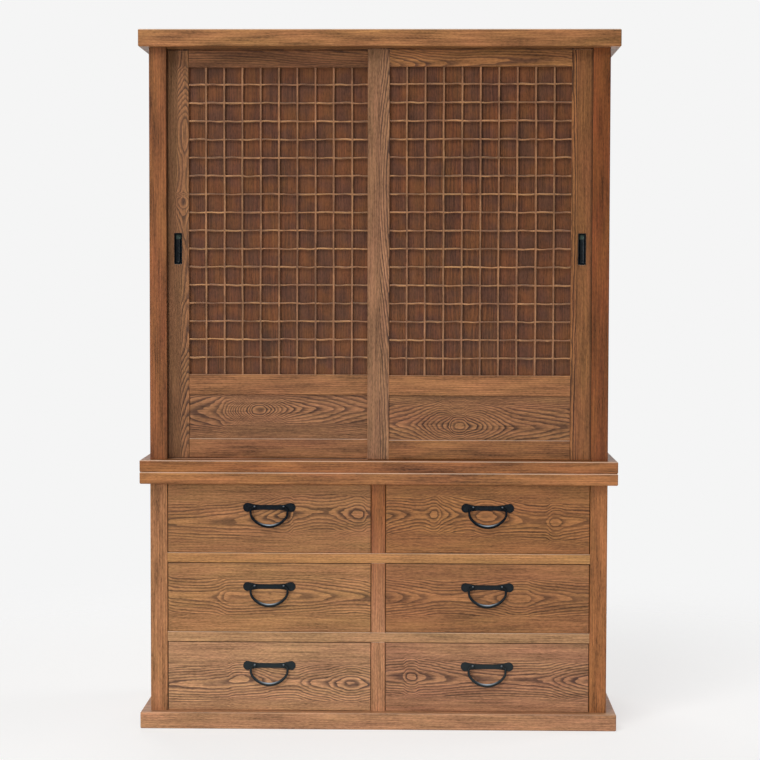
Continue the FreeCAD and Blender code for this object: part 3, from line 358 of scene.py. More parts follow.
plank("upper_top_board", 1.755, 1.0, (0.341, 0.153, 0.0600), (0.15, 0.052, 0.020))
plank("upper_bottom_board", 0.680, 2.0, (0.276, 0.107, 0.0390), (0.12, 0.040, 0.016))
plank("lower_top_board", 0.650, 3.0, (0.319, 0.134, 0.0496), (0.15, 0.056, 0.024))
plank("base_board", 0.042, 4.0, (0.451, 0.231, 0.122), (0.24, 0.11, 0.055), 0.2, 1.0)


# Side frames
# Posts and rails of ash, mortised and pinned together. The upper posts are broader from front to
# back and took the stain darker and redder than the lower ones.

UP = (0, 0, 1)
FRONT = (0, -1, 0)
LEFT = (-1, 0, 0)


def position(tree, place=None):
    """The x, y and z of a place, or of the point on the object where none is given."""
    if place is None:
        place = node(tree, "ShaderNodeTexCoord")["Object"]
    return node(tree, "ShaderNodeSeparateXYZ", place)


def choose_place(tree, share, first, second):
    """The first place where share is 0, and the second where it is 1."""
    return node(tree, "ShaderNodeMix", share, None, None, None, first, second, data_type="VECTOR")[1]


def side_frame(name, front_post, seed, light, dark):
    """A side frame: grain stands in its posts and lies in its rails, split where they join.

    The faces towards the doors and the cupboard carry painted shade, a much darker tone for the recess
    they face."""
    rear_post = 0.045
    inner_side = 0.5335
    front_face = 0.003
    material, tree = new_material(f"{name}_wood")
    low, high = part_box(name)
    upright = board_place(tree, UP, RIGHT, BACK, low)
    if high.x < 0:
        level = board_place(tree, BACK, UP, RIGHT, low)
    else:
        level = board_place(tree, FRONT, UP, LEFT, (high.x, high.y, low.z))
    x, y = position(tree)[:2]
    in_post = maths(tree, "MAXIMUM", maths(tree, "LESS_THAN", y, low.y + front_post),
                    maths(tree, "GREATER_THAN", y, high.y - rear_post))
    place = choose_place(tree, in_post, level, upright)
    # Painted shade: the faces inside the recesses are darkened to 0.15 of the wood's light tone.
    inside = maths(tree, "MULTIPLY", maths(tree, "LESS_THAN", maths(tree, "ABSOLUTE", x), inner_side),
                   maths(tree, "GREATER_THAN", y, low.y + front_face))
    light = mix_colours(tree, inside, light, tuple(0.15 * part for part in light))
    finish_wood(tree, place, heart=-0.06, figure=0.3, drift=3.0, rings_per_metre=160.0, plain_from=5.0,
                mottle=1.6, light=light, dark=dark, seed=seed)
    dress(name, material)
    ease_edges(name)


side_frame("lower_left_side_frame", 0.045, 5.0, (0.390, 0.178, 0.078), (0.17, 0.066, 0.030))
side_frame("lower_right_side_frame", 0.045, 6.0, (0.328, 0.129, 0.0466), (0.15, 0.055, 0.022))
side_frame("upper_left_side_frame", 0.075, 7.0, (0.233, 0.085, 0.0310), (0.10, 0.037, 0.015))
side_frame("upper_right_side_frame", 0.075, 8.0, (0.200, 0.063, 0.0197), (0.08, 0.027, 0.011))


# Side panels and back boards
# Thin ash panels in the grooves of the side frames, and six upright boards nailed across each back,
# with a dark seam where two of them meet. All are stained like the case.

for name, seed in (("upper_side_panels", 9.0), ("lower_side_panels", 10.0)):
    material, tree = new_material(f"{name}_wood")
    low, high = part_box(name)
    on_left = maths(tree, "LESS_THAN", position(tree)[0], 0.0)
    right = board_place(tree, UP, BACK, LEFT, (high.x, low.y, low.z))
    left = board_place(tree, UP, FRONT, RIGHT, (low.x, high.y, low.z))
    finish_wood(tree, choose_place(tree, on_left, right, left), heart=0.18, figure=0.75, drift=6.0,
                rings_per_metre=90.0, plain_from=0.08, light=(0.36, 0.155, 0.075),
                dark=(0.15, 0.062, 0.035), seed=maths(tree, "MULTIPLY_ADD", on_left, 2.0, seed))
    dress(name, material)

for name, seed in (("upper_back_boards", 20.0), ("lower_back_boards", 30.0)):
    material, tree = new_material(f"{name}_wood")
    low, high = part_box(name)
    width = high.x - low.x
    boards = 6
    pitch = width / boards
    passed = maths(tree, "DIVIDE", maths(tree, "SUBTRACT", position(tree)[0], low.x), pitch)
    board = maths(tree, "FLOOR", passed)
    to_middle = maths(tree, "ABSOLUTE", maths(tree, "SUBTRACT", maths(tree, "FRACT", passed), 0.5))
    seam = ramp(tree, to_middle, 0.490, 0.497, 0, 1)
    chance = node(tree, "ShaderNodeTexWhiteNoise", None, board, noise_dimensions="1D")[0]
    light = mix_colours(tree, chance, (0.43, 0.24, 0.13), (0.34, 0.18, 0.10))
    light = mix_colours(tree, seam, light, (0.06, 0.03, 0.02))
    middle = maths(tree, "MULTIPLY", maths(tree, "ADD", board, 0.45), pitch)
    place = board_place(tree, UP, LEFT, FRONT, (high.x, high.y, low.z))
    finish_wood(tree, place, heart=maths(tree, "SUBTRACT", width, middle), figure=0.7, drift=6.0,
                rings_per_metre=90.0, plain_from=0.05, light=light, dark=(0.17, 0.085, 0.05),
                seed=maths(tree, "ADD", board, seed))
    dress(name, material)


# Drawer rails and centre posts
# Square bars of ash between the side frames, flush with their front posts; the posts are cut
# between the boards and rails.

material, tree = new_material("drawer_rail_wood")
place = board_place(tree, RIGHT, DOWN, BACK, (-0.558, -0.225, 0.444))
lower_rail = maths(tree, "LESS_THAN", position(tree)[2], 0.3)
light = mix_colours(tree, lower_rail, (0.438, 0.216, 0.080), (0.416, 0.231, 0.114))
finish_wood(tree, place, heart=-0.2, figure=0.3, drift=2.0, rings_per_metre=170.0, plain_from=5.0,
            light=light, dark=(0.23, 0.105, 0.048),
            seed=maths(tree, "MULTIPLY_ADD", lower_rail, 3.0, 11.0))
dress("drawer_rails", material)
ease_edges("drawer_rails")

material, tree = new_material("centre_post_wood")
place = board_place(tree, UP, RIGHT, BACK, (-0.0175, -0.225, 0.034))
height = position(tree, place)[0]
light = mix_colours(tree, ramp(tree, height, 0.12, 0.55, 0, 1),
                    (0.485, 0.231, 0.118), (0.255, 0.090, 0.0295))
finish_wood(tree, place, heart=-0.03, figure=0.35, drift=3.0, rings_per_metre=160.0, plain_from=5.0,
            light=light, dark=(0.16, 0.062, 0.028), seed=12.0)
dress("centre_posts", material)
ease_edges("centre_posts")


# Inner woodwork
# Partition, runners, guides, shelf, cleats and pegs of pale planed softwood, left without stain.
# They are housed, pinned or nailed, and show only where a door or drawer stands open.

def inner_wood(name, along, across, depth, seed):
    """Pale planed wood with straight faint rings."""
    material, tree = new_material(f"{name}_wood")
    place = board_place(tree, along, across, depth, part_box(name)[0])
    finish_wood(tree, place, 0.2, heart=-0.1, figure=0.5, drift=4.0, rings_per_metre=120.0,
                plain_from=5.0, light=(0.58, 0.40, 0.22), dark=(0.42, 0.24, 0.12), seed=seed)
    dress(name, material)


inner_wood("centre_partition", BACK, UP, RIGHT, 13.0)
inner_wood("drawer_runners", BACK, UP, RIGHT, 14.0)
inner_wood("drawer_guides", BACK, UP, RIGHT, 15.0)
inner_wood("cupboard_shelf", RIGHT, BACK, UP, 16.0)
inner_wood("shelf_cleats", BACK, UP, RIGHT, 17.0)
inner_wood("locating_pegs", UP, RIGHT, BACK, 18.0)


# Door frames
# Stiles run the full height and the three rails are tenoned between them. All are thin ash,
# stained a little greyer than the case.

def curve(tree, value, points, unit=1.0):
    """A smooth curve through its points, each a length in millimetres and a number of units."""
    lengths, numbers = np.array(points, float).T
    numbers = numbers * unit
    low = numbers.min()
    span = max(numbers.max() - low, 0.001)
    made = tree.nodes.new("ShaderNodeFloatCurve")
    line = made.mapping.curves[0]
    spots = list(zip(lengths / lengths.max(), (numbers - low) / span))
    line.points[0].location = spots[0]
    line.points[-1].location = spots[-1]
    for x, y in spots[1:-1]:
        line.points.new(x, y)
    made.mapping.update()
    tree.links.new(maths(tree, "DIVIDE", value, lengths.max() / 1000), made.inputs["Value"])
    return maths(tree, "MULTIPLY_ADD", made.outputs[0], float(span), float(low))


def door_stiles(door, seed, first, second):
    """Both stiles; each has its own heart line, rings and tone. first is the left-hand one.

    Painted light lightens the outer edge at the chest's left, where its post casts a shadow, and painted
    shade darkens a stile beside its post."""
    name = f"{door}_stiles"
    material, tree = new_material(f"{name}_wood")
    low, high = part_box(name)
    x = position(tree)[0]
    which = maths(tree, "GREATER_THAN", x, (low.x + high.x) / 2)
    place = board_place(tree, UP, RIGHT, BACK, low)
    along = position(tree, place)[0]
    chosen = {}
    for key in ("figure", "plain_figure", "rings_per_metre", "heart_radius", "plain_from", "plain_tone"):
        chosen[key] = ramp(tree, which, 0, 1, first[key], second[key], "LINEAR")
    for key in ("light", "dark"):
        chosen[key] = mix_colours(tree, which, first[key], second[key])
    for key, unit in (("rings", 1.0), ("heart", 0.001)):
        lines = [curve(tree, along, stile[key], unit) for stile in (first, second)]
        chosen[key] = ramp(tree, which, 0, 1, lines[0], lines[1], "LINEAR")
    # Painted light: the left stile's outer edge is lightened where the post's shadow falls on it.
    painted_light_edge = ramp(tree, x, -0.523, -0.510, 0.75, 0)
    # Painted shade: each stile is darkened in the strip right beside its post.
    painted_shade_by_post = maths(tree, "MAXIMUM", ramp(tree, x, 0.526, 0.532, 0, 0.6),
                        ramp(tree, x, -0.5345, -0.532, 0.6, 0))
    light = mix_colours(tree, painted_light_edge, chosen["light"], (0.46, 0.22, 0.105))
    chosen["light"] = mix_colours(tree, painted_shade_by_post, light, (0.030, 0.013, 0.008))
    finish_wood(tree, place, seed=maths(tree, "ADD", which, seed), **chosen)
    dress(name, material)
    ease_edges(name)


# Each stile's rings and heart hold millimetres up from the door's foot, with the ring number at
# the heart line there, and with how far that line lies from the door's left edge, in millimetres.
left_outer = dict(
    figure=0.88, plain_figure=0.4, rings_per_metre=110.0, heart_radius=0.003, plain_from=0.015,
    plain_tone=0.72, light=(0.295, 0.134, 0.0594), dark=(0.034, 0.019, 0.017),
    rings=[(0, -0.9), (39, 0), (64, 1), (87, 2), (113, 3), (143, 4), (179, 5), (201, 6), (219, 7),
           (236, 8), (255, 9), (272, 10), (320, 11), (386, 12), (408, 13), (487, 14), (517, 14.5),
           (548, 14), (593, 13.5), (630, 12.2), (655, 11), (668, 12.6), (682, 14.6), (760, 14.6),
           (790, 13.6), (827, 13.2), (850, 13.5), (878, 15), (894, 16), (910, 17), (923, 18),
           (937, 19), (954, 20), (968, 21), (983, 22), (993, 23), (1045, 23.4)],
    heart=[(0, 52), (500, 52), (655, 41), (760, 45), (1045, 46)])
left_inner = dict(
    figure=0.45, plain_figure=0.5, rings_per_metre=250.0, heart_radius=0.015, plain_from=0.5,
    plain_tone=1.0, light=(0.236, 0.109, 0.054), dark=(0.09, 0.042, 0.024),
    rings=[(0, 0), (400, 1.5), (800, 1.0), (1045, 2.5)],
    heart=[(0, 440), (1045, 450)])
right_inner = dict(
    figure=0.9, plain_figure=0.15, rings_per_metre=150.0, heart_radius=0.003, plain_from=0.021,
    plain_tone=0.83, light=(0.335, 0.166, 0.085), dark=(0.050, 0.026, 0.023),
    rings=[(0, 7.6), (150, 7), (254, 6), (305, 5), (363, 4), (414, 3), (455, 2), (512, 1), (573, 0),
           (682, -0.7), (796, 0), (872, 1), (917, 2), (968, 3), (1033, 4), (1045, 4.2)],
    heart=[(0, 53), (500, 55), (1045, 55)])
right_outer = dict(
    figure=1.0, plain_figure=0.2, rings_per_metre=150.0, heart_radius=0.006, plain_from=0.012,
    plain_tone=0.84, light=(0.290, 0.120, 0.044), dark=(0.034, 0.015, 0.012),
    rings=[(0, 2.3), (200, 1.8), (420, 1.1), (620, 0.8), (800, 1.2), (1045, 2.2)],
    heart=[(0, 509), (500, 506), (1045, 508)])
door_stiles("left_door", 30.0, left_outer, left_inner)
door_stiles("right_door", 33.0, right_inner, right_outer)

# The tones of each door's three rails, and the top rail's own figure: its rings and heart hold
# millimetres from the left stile, and the heart lies so far below the hidden top edge.
door_rails = {
    "left_door": dict(
        seed=36.0, foot=(0.290, 0.127, 0.0546), middle=(0.302, 0.132, 0.0546),
        top=(0.262, 0.114, 0.0498), plain_from=0.030,
        rings=[(0, 4.2), (128, 4), (300, 1.6), (455, -0.3)],
        heart=[(0, 7), (455, 7)]),
    "right_door": dict(
        seed=39.0, foot=(0.282, 0.121, 0.0449), middle=(0.347, 0.151, 0.0598),
        top=(0.340, 0.152, 0.0560), plain_from=0.042,
        rings=[(0, 0.1), (27, 1), (63, 2), (89, 3), (145, 4), (313, 5), (455, 5.5)],
        heart=[(0, 52), (145, 49), (313, 41), (455, 46)])}
stile_width = 0.055
for door, rail in door_rails.items():
    name = f"{door}_rails"
    material, tree = new_material(f"{name}_wood")
    low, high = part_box(name)
    stile_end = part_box(f"{door}_stiles")[0].x + stile_width
    place = board_place(tree, RIGHT, DOWN, BACK, (stile_end, low.y, high.z))
    along = position(tree, place)[0]
    z = position(tree)[2]
    above_foot = maths(tree, "GREATER_THAN", z, 0.8)
    at_top = maths(tree, "GREATER_THAN", z, 1.2)
    light = mix_colours(tree, above_foot, rail["foot"], rail["middle"])
    light = mix_colours(tree, at_top, light, rail["top"])
    heart = curve(tree, along, rail["heart"], 0.001)
    # The foot rail's upper arris gets the strongest painted highlight.
    finish_wood(tree, place, arris_highlight=ramp(tree, above_foot, 0, 1, 0.65, 0.15, "LINEAR"), mottle=2.0,
                heart=ramp(tree, at_top, 0, 1, -0.1, heart, "LINEAR"),
                rings=maths(tree, "MULTIPLY", curve(tree, along, rail["rings"]), at_top),
                figure=ramp(tree, at_top, 0, 1, 0.4, 0.9, "LINEAR"),
                plain_from=ramp(tree, at_top, 0, 1, 5.0, rail["plain_from"], "LINEAR"),
                plain_figure=0.2, drift=maths(tree, "MULTIPLY_ADD", at_top, -3.0, 3.0),
                rings_per_metre=190.0, light=light, dark=(0.070, 0.032, 0.022),
                seed=maths(tree, "ADD", maths(tree, "ADD", above_foot, at_top), rail["seed"]))
    dress(name, material)
    ease_edges(name, 0.002)


# Lower door panels
# One thin board in each door, in the grooves of its frame. It is flat-sawn through the heart, so
# that its rings close into an eye.

def figured_board(name, corner, rings, heart, seed, light, dark, plain_from, rings_per_metre,
                  heart_radius=0.015, figure=1.0, plain_tone=1.0):
    """A flat-sawn board: ring numbers along its heart line, and how far that lies below its top edge.

    The rings per metre and the heart's radius, here in millimetres, can change along it too."""
    material, tree = new_material(f"{name}_wood")
    place = board_place(tree, RIGHT, DOWN, BACK, corner)
    along = position(tree, place)[0]
    if isinstance(rings_per_metre, list):
        rings_per_metre = curve(tree, along, rings_per_metre)
        heart_radius = curve(tree, along, heart_radius, 0.001)
    finish_wood(tree, place, arris_highlight=0.1, rings=curve(tree, along, rings), seed=seed, light=light, dark=dark,
                heart=curve(tree, along, heart, 0.001), rings_per_metre=rings_per_metre,
                plain_from=plain_from, plain_tone=plain_tone, heart_radius=heart_radius, figure=figure)
    dress(name, material)


figured_board(
    "left_door_lower_panel", (-0.481, -0.179, 0.8425), seed=45.0, light=(0.309, 0.143, 0.066),
    dark=(0.045, 0.022, 0.017), plain_from=0.032, plain_tone=0.9,
    rings=[(0, 0.3), (13, 0), (63, -1), (82, -2), (91, -3), (98, -4), (120, -7.5), (150, -11.5),
           (179, -14), (195, -13), (215, -11), (235, -9), (262, -7.2), (290, -6), (316, -5.2),
           (352, -4.4), (380, -3.6), (400, -3), (440, -2.2), (455, -1.8)],
    heart=[(0, 44), (90, 42), (179, 40), (300, 37), (455, 38)],
    rings_per_metre=[(0, 60), (82, 66), (98, 120), (125, 300), (179, 430), (240, 260), (290, 130),
                     (360, 95), (455, 95)],
    heart_radius=[(0, 3), (90, 4), (130, 20), (179, 26), (230, 18), (290, 6), (455, 3)])
figured_board(
    "right_door_lower_panel", (0.026, -0.206, 0.8425), seed=46.0, light=(0.309, 0.140, 0.061),
    dark=(0.045, 0.022, 0.017), plain_from=0.045, plain_tone=0.92,
    rings=[(0, 0.4), (17, 0), (52, -1), (72, -2), (86, -3), (98, -4), (109, -5), (150, -8),
           (178, -10.3), (198, -9), (220, -8), (248, -6), (277, -4), (316, -2), (369, -1), (432, 0),
           (455, 0.4)],
    heart=[(0, 71), (178, 76), (300, 80), (455, 79)],
    rings_per_metre=[(0, 90), (60, 100), (120, 180), (178, 300), (240, 180), (300, 110), (455, 90)],
    heart_radius=[(0, 3), (80, 5), (130, 20), (178, 26), (230, 18), (290, 6), (455, 3)])


# Lattice windows
# Nine uprights and sixteen crossbars of split lighter wood in each door, let into each other
# at every crossing, with a thin stained board behind. The crossbars keep the waves of the split.

def bar_mesh(name, path, half_width, half_depth, wide, deep, material):
    """Bars with eased corners: an eight-cornered outline carried along each row of points.

    path is bars x points x 3; the half sizes hold one number for each of those points."""
    ease = 0.25
    corners = np.array([(1, 1 - ease), (1 - ease, 1), (ease - 1, 1), (-1, 1 - ease),
                        (-1, ease - 1), (ease - 1, -1), (1 - ease, -1), (1, ease - 1)])
    rings = (path[:, :, None, :]
             + corners[None, None, :, :1] * half_width[:, :, None, None] * np.array(wide)
             + corners[None, None, :, 1:] * half_depth[:, :, None, None] * np.array(deep))
    bars, steps, sides = rings.shape[:3]
    index = np.arange(bars * steps * sides).reshape(bars, steps, sides)
    ahead = np.roll(index, -1, 2)
    walls = np.stack([index[:, :-1], ahead[:, :-1], ahead[:, 1:], index[:, 1:]], axis=-1).reshape(-1, 4)
    ends = np.vstack([index[:, 0, ::-1], index[:, -1]])
    return add_mesh(name, rings, walls.tolist() + ends.tolist(), material)


def lattice_wood(name, along, across, pale, deep, seed):
    """Split lighter wood: straight fibre, hardly any rings, pale in one place and deep in the next."""
    material, tree = new_material(f"{name}_wood")
    place = board_place(tree, along, across, BACK, (0, 0, 0))
    patch = node(tree, "ShaderNodeTexNoise", place, None, 22.0, 2.0)[0]
    light = mix_colours(tree, ramp(tree, patch, 0.38, 0.62, 0, 1), pale, deep)
    finish_wood(tree, place, 0.3, arris_highlight=0.3, heart=-2.0, figure=0.35, drift=2.0, rings_per_metre=120.0,
                plain_from=9.0, light=light, dark=(0.10, 0.043, 0.020), seed=seed)
    return material


upright_wood = lattice_wood("lattice_upright", UP, RIGHT,
                            (0.315, 0.146, 0.066), (0.205, 0.091, 0.040), 50.0)
crossbar_wood = lattice_wood("lattice_crossbar", RIGHT, DOWN,
                             (0.400, 0.192, 0.078), (0.200, 0.088, 0.039), 51.0)
split = np.random.default_rng(16)
bar = 0.0055
slack = 0.0002
room_to_swell = 0.0006
sway_step = 0.00012
bow_reach, wave_reach = 0.0012, 0.0008
upright_count, upright_steps = 9, 60
crossbar_count, per_span = 16, 8
spans = upright_count + 1
for door, backing_seed in (("left_door", 61.0), ("right_door", 62.0)):
    # The uprights sway a little between fixed ends.
    low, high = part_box(f"{door}_lattice_uprights")
    centres = np.linspace(low.x + bar / 2, high.x - bar / 2, upright_count)
    shape = (upright_count, upright_steps)
    sway = split.normal(0, sway_step, shape).cumsum(1)
    sway -= np.linspace(0, 1, upright_steps) * sway[:, -1:]
    path = np.stack([centres[:, None] + sway, np.full(shape, (low.y + high.y) / 2),
                     np.broadcast_to(np.linspace(low.z, high.z, upright_steps), shape)], axis=-1)
    uprights = bar_mesh(f"{door}_uprights", path, np.full(shape, bar / 2 - slack),
                        np.full(shape, (high.y - low.y) / 2), RIGHT, BACK, upright_wood)
    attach(uprights, door)
    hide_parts(f"{door}_lattice_uprights")

    # The crossbars bow and swell in each span between two uprights, and lie true at the crossings.
    low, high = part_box(f"{door}_lattice_crossbars")
    along = np.linspace(low.x, high.x, spans * per_span + 1)
    shape = (crossbar_count, len(along))
    knots = np.concatenate([[low.x], centres, [high.x]])
    span = np.clip(np.searchsorted(knots, along, side="right") - 1, 0, spans - 1)
    passed = (along - knots[span]) / (knots[span + 1] - knots[span])
    arch = np.sin(np.pi * passed)
    wave = np.sin(2 * np.pi * passed)
    bow = split.uniform(-bow_reach, bow_reach, (crossbar_count, spans))[:, span] * arch
    bow += split.uniform(-wave_reach, wave_reach, (crossbar_count, spans))[:, span] * wave
    swell = split.uniform(-0.40, 0.15, (crossbar_count, spans))[:, span] * arch
    levels = np.linspace(low.z + bar / 2, high.z - bar / 2, crossbar_count)
    path = np.stack([np.broadcast_to(along, shape), np.full(shape, (low.y + high.y) / 2 + slack),
                     levels[:, None] + bow], axis=-1)
    crossbars = bar_mesh(f"{door}_crossbars", path, (bar / 2 - room_to_swell) * (1 + swell),
                         np.full(shape, (high.y - low.y) / 2 - slack), DOWN, BACK, crossbar_wood)
    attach(crossbars, door)
    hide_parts(f"{door}_lattice_crossbars")

    name = f"{door}_backing_board"
    material, tree = new_material(f"{name}_wood")
    place = board_place(tree, UP, RIGHT, BACK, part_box(name)[0])
    patch = node(tree, "ShaderNodeTexNoise", place, None, 16.0, 3.0)[0]
    light = mix_colours(tree, ramp(tree, patch, 0.35, 0.65, 0, 1),
                        (0.155, 0.0560, 0.0205), (0.104, 0.0414, 0.0224))
    finish_wood(tree, place, heart=0.2, figure=0.45, drift=6.0, rings_per_metre=110.0, plain_from=0.06,
                light=light, dark=(0.034, 0.015, 0.011), seed=backing_seed)
    dress(name, material)


# Drawer fronts
# Six flat-sawn ash boards, each with its own figure. The rings at the heart and the line of the
# heart are given along the board in millimetres, from its left end and down from its top edge.

fronts = {
    "top_left": dict(
        seed=61.0, light=(0.351, 0.163, 0.0665), rings_per_metre=140.0, figure=0.9,
        rings=[(0, 0.9), (75, 0.45), (139, 0), (183, -0.4), (216, -1), (255, -2), (281, -3),
               (296, -3.3), (319, -2), (346, -1.6), (386, -1.05), (438, -2), (465, -3), (482, -3.4),
               (503, -2.2), (513, -2)],
        heart=[(0, 97), (139, 95), (296, 78), (386, 70), (482, 75), (513, 75)]),
    "middle_left": dict(
        seed=62.0, light=(0.414, 0.203, 0.084), rings_per_metre=150.0, figure=0.75,
        rings=[(0, 1.7), (80, 1.5), (120, 1.0), (140, 0), (165, -0.7), (230, -0.5), (300, -0.25),
               (350, 0), (413, 1), (460, 1.6), (502, 2), (513, 2.1)],
        heart=[(0, 76), (165, 86), (350, 81), (513, 90)]),
    "bottom_left": dict(
        seed=63.0, light=(0.500, 0.268, 0.136), rings_per_metre=175.0, figure=0.9,
        rings=[(0, 1.0), (50, 0.6), (110, 0.3), (148, 0), (178, -0.4), (208, 0), (240, 1),
               (280, 2.3), (320, 2.6), (339, 2), (361, 1), (385, 0.4), (404, 0), (424, -1),
               (445, -1.8), (461, -2.2), (490, -1.5), (513, -0.8)],
        heart=[(0, 110), (148, 104), (185, 95), (250, 100), (461, 104), (513, 104)]),
    "top_right": dict(
        seed=64.0, light=(0.345, 0.147, 0.0530), rings_per_metre=150.0, figure=0.9,
        rings=[(0, -1.2), (56, 0), (85, 0.5), (108, 0), (122, -0.5), (132, 0), (142, 1), (162, 2),
               (184, 3), (215, 3.5), (232, 2.9), (256, 2.4), (280, 3), (400, 5), (425, 3.5),
               (450, 4.2), (513, 5)],
        heart=[(0, 84), (122, 75), (256, 80), (425, 93), (513, 90)]),
    "middle_right": dict(
        seed=65.0, light=(0.351, 0.156, 0.0630), rings_per_metre=160.0, figure=0.75,
        rings=[(0, -2), (50, -1), (97, 0), (150, 0.8), (200, 0.5), (260, -0.5), (300, -1.6),
               (339, -2.6), (370, -1.8), (398, -1), (473, 0), (513, 0.4)],
        heart=[(0, 84), (200, 85), (339, 85), (513, 84)]),
    "bottom_right": dict(
        seed=66.0, light=(0.424, 0.208, 0.109), rings_per_metre=165.0, figure=0.9,
        rings=[(0, 0.4), (45, -0.2), (65, -1.4), (85, -0.5), (120, 0.1), (164, 1), (220, 1.8),
               (290, 2.4), (350, 2.2), (400, 2), (430, 1), (453, 0), (481, -1), (513, -1.8)],
        heart=[(0, 85), (65, 85), (164, 90), (300, 92), (513, 94)])}
for place_name, front in fronts.items():
    name = f"{place_name}_drawer_front"
    low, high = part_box(name)
    red, green, blue = front["light"]
    figured_board(name, (low.x, low.y, high.z), dark=(0.12 * red, 0.13 * green, 0.24 * blue),
                  plain_from=0.033, **front)
    ease_edges(name, 0.0008)


# Drawer boxes
# Sides, back and bottom of pale planed wood, pinned together and to the front, and left without
# stain. They show when a drawer is pulled.

for place_name, front in fronts.items():
    inner_wood(f"{place_name}_drawer_box", BACK, UP, RIGHT, front["seed"] + 10)


# Ironwork
# Forged by hand, blacked and oiled: nearly black, with a cold sheen where the light catches it.
# Each handle is a plate nailed on by two split eyes, which hold the ends of its bail.

iron, tree = new_material("black_iron")
spot = node(tree, "ShaderNodeTexCoord")["Object"]
forged = node(tree, "ShaderNodeTexNoise", spot, None, 220.0, 3.0)[0]
scale = node(tree, "ShaderNodeTexNoise", spot, None, 900.0, 2.0)[0]
cold = mix_colours(tree, ramp(tree, forged, 0.35, 0.7, 0, 1),
                   (0.0015, 0.0035, 0.0062), (0.005, 0.009, 0.014))
# Painted reflection: the lower handles are painted paler, standing in for the pale floor's light on
# them.
painted_floor_light = ramp(tree, position(tree, spot)[2], 0.50, 0.12, 0, 1)
cold = mix_colours(tree, painted_floor_light, cold, (0.024, 0.031, 0.034))
# Painted highlight: marked points on up-facing faces are painted pale blue-grey.
painted_glint = maths(tree, "MULTIPLY", node(tree, "ShaderNodeAttribute", attribute_name="painted_glint")["Fac"],
                ramp(tree, facing_up(tree), 0.25, 0.75, 0, 1))
cold = mix_colours(tree, painted_glint, cold, (0.42, 0.50, 0.58))
dents = node(tree, "ShaderNodeBump", 0.3, 0.0004, 1.0, forged)["Normal"]
shader = principled(tree, cold, ramp(tree, scale, 0.2, 0.8, 0.16, 0.28), 0.05, dents)
node(tree, "ShaderNodeOutputMaterial", shader)


def mark_painted_glint(piece, amounts):
    """Notes the share of painted highlight, a number for each point."""
    noted = piece.data.attributes.new("painted_glint", "FLOAT", "POINT")
    noted.data.foreach_set("value", amounts.astype(np.float32))


def closed_mesh(name, rings, material):
    """A skin over rows of points: each row is a closed ring, and the first and last are capped."""
    steps, sides = rings.shape[:2]
    index = np.arange(steps * sides).reshape(steps, sides)
    ahead = np.roll(index, -1, 1)
    walls = np.stack([index[:-1], ahead[:-1], ahead[1:], index[1:]], axis=-1).reshape(-1, 4)
    caps = [index[0, ::-1].tolist(), index[-1].tolist()]
    return add_mesh(name, rings, walls.tolist() + caps, material, smooth=len(walls))


plate_length = 0.133
disc_radius = 0.0115
waist = 0.0062
flare = 0.110
plate_thickness = 0.002


def plate_outline(count):
    """Anticlockwise from the right tip: the disc's arc, a hollow flare, a straight waist, mirrored."""
    disc_x = plate_length / 2 - disc_radius
    lean = math.acos((waist + flare) / (disc_radius + flare))
    flare_x = disc_x - (disc_radius + flare) * math.sin(lean)
    turn = np.linspace(0, np.pi / 2 + lean, count)
    fall = np.linspace(lean - np.pi / 2, -np.pi / 2, count // 2)[1:]
    x = np.concatenate([disc_x + disc_radius * np.cos(turn), flare_x + flare * np.cos(fall),
                        [flare_x / 2]])
    z = np.concatenate([disc_radius * np.sin(turn), waist + flare + flare * np.sin(fall), [waist]])
    x = np.concatenate([x, -x[::-1]])
    z = np.concatenate([z, z[::-1]])
    return np.concatenate([x, -x[1:-1]]), np.concatenate([z, -z[1:-1]])


def set_in(outline_x, outline_z, inset):
    """Draws an outline inwards by the inset, along the normals of its own corners."""
    edge_x = np.roll(outline_x, -1) - np.roll(outline_x, 1)
    edge_z = np.roll(outline_z, -1) - np.roll(outline_z, 1)
    length = np.hypot(edge_x, edge_z)
    return outline_x - inset * edge_z / length, outline_z + inset * edge_x / length


def upright_row(middle, x, z, y):
    """The points of an outline about the middle of its piece, all at the depth y."""
    return np.stack([middle.x + x, np.full_like(x, y), middle.z + z], axis=-1)


def handle_plate(name, centre):
    """The plate's outline set back in steps from its rim to its front, eased and slightly domed."""
    x, z = plate_outline(24)
    rows = []
    for inset, lift in ((0.0, 0.0), (0.0, 0.0013), (0.00025, 0.00175), (0.0007, plate_thickness)):
        rows.append(upright_row(centre, *set_in(x, z, inset), centre.y - lift))
    return closed_mesh(name, np.array(rows), iron)


pin_half_spacing = 0.0365
pin_standoff = 0.008
pin_half = 0.0024
leg_half = 0.00075
leg_reach = 0.008
eye_radius = 0.0055
eye_foot = 0.0045
eye_shine = 0.35


def eyes(name, centres):
    """Rings square to the plate about each centre: a flattened circle carried round a circle."""
    wire = 0.0011
    half_breadth = 0.0025
    turn = np.linspace(0, 2 * np.pi, 24, endpoint=False)[None, :, None]
    around = np.linspace(0, 2 * np.pi, 10, endpoint=False)[None, None, :]
    reach = eye_radius - wire + wire * np.cos(around)
    ring = np.stack([-half_breadth * np.sin(around) + 0 * turn, reach * np.cos(turn),
                     reach * np.sin(turn)], axis=-1)
    points = np.array(centres)[:, None, None] + ring
    index = np.arange(points[..., 0].size).reshape(points.shape[:3])
    beside = np.roll(index, -1, 2)
    faces = np.stack([index, beside, np.roll(beside, -1, 1), np.roll(index, -1, 1)], axis=-1)
    faces = faces.reshape(-1, 4).tolist()
    return add_mesh(name, points, faces, iron, smooth=len(faces))


bail_half = 0.0465
bail_drop = 0.047
shoulder = 0.007
side_drop = 0.012
corner = 0.024
thin, thick = 0.00275, 0.0043
eye_end = 0.007
bail_sides = 16


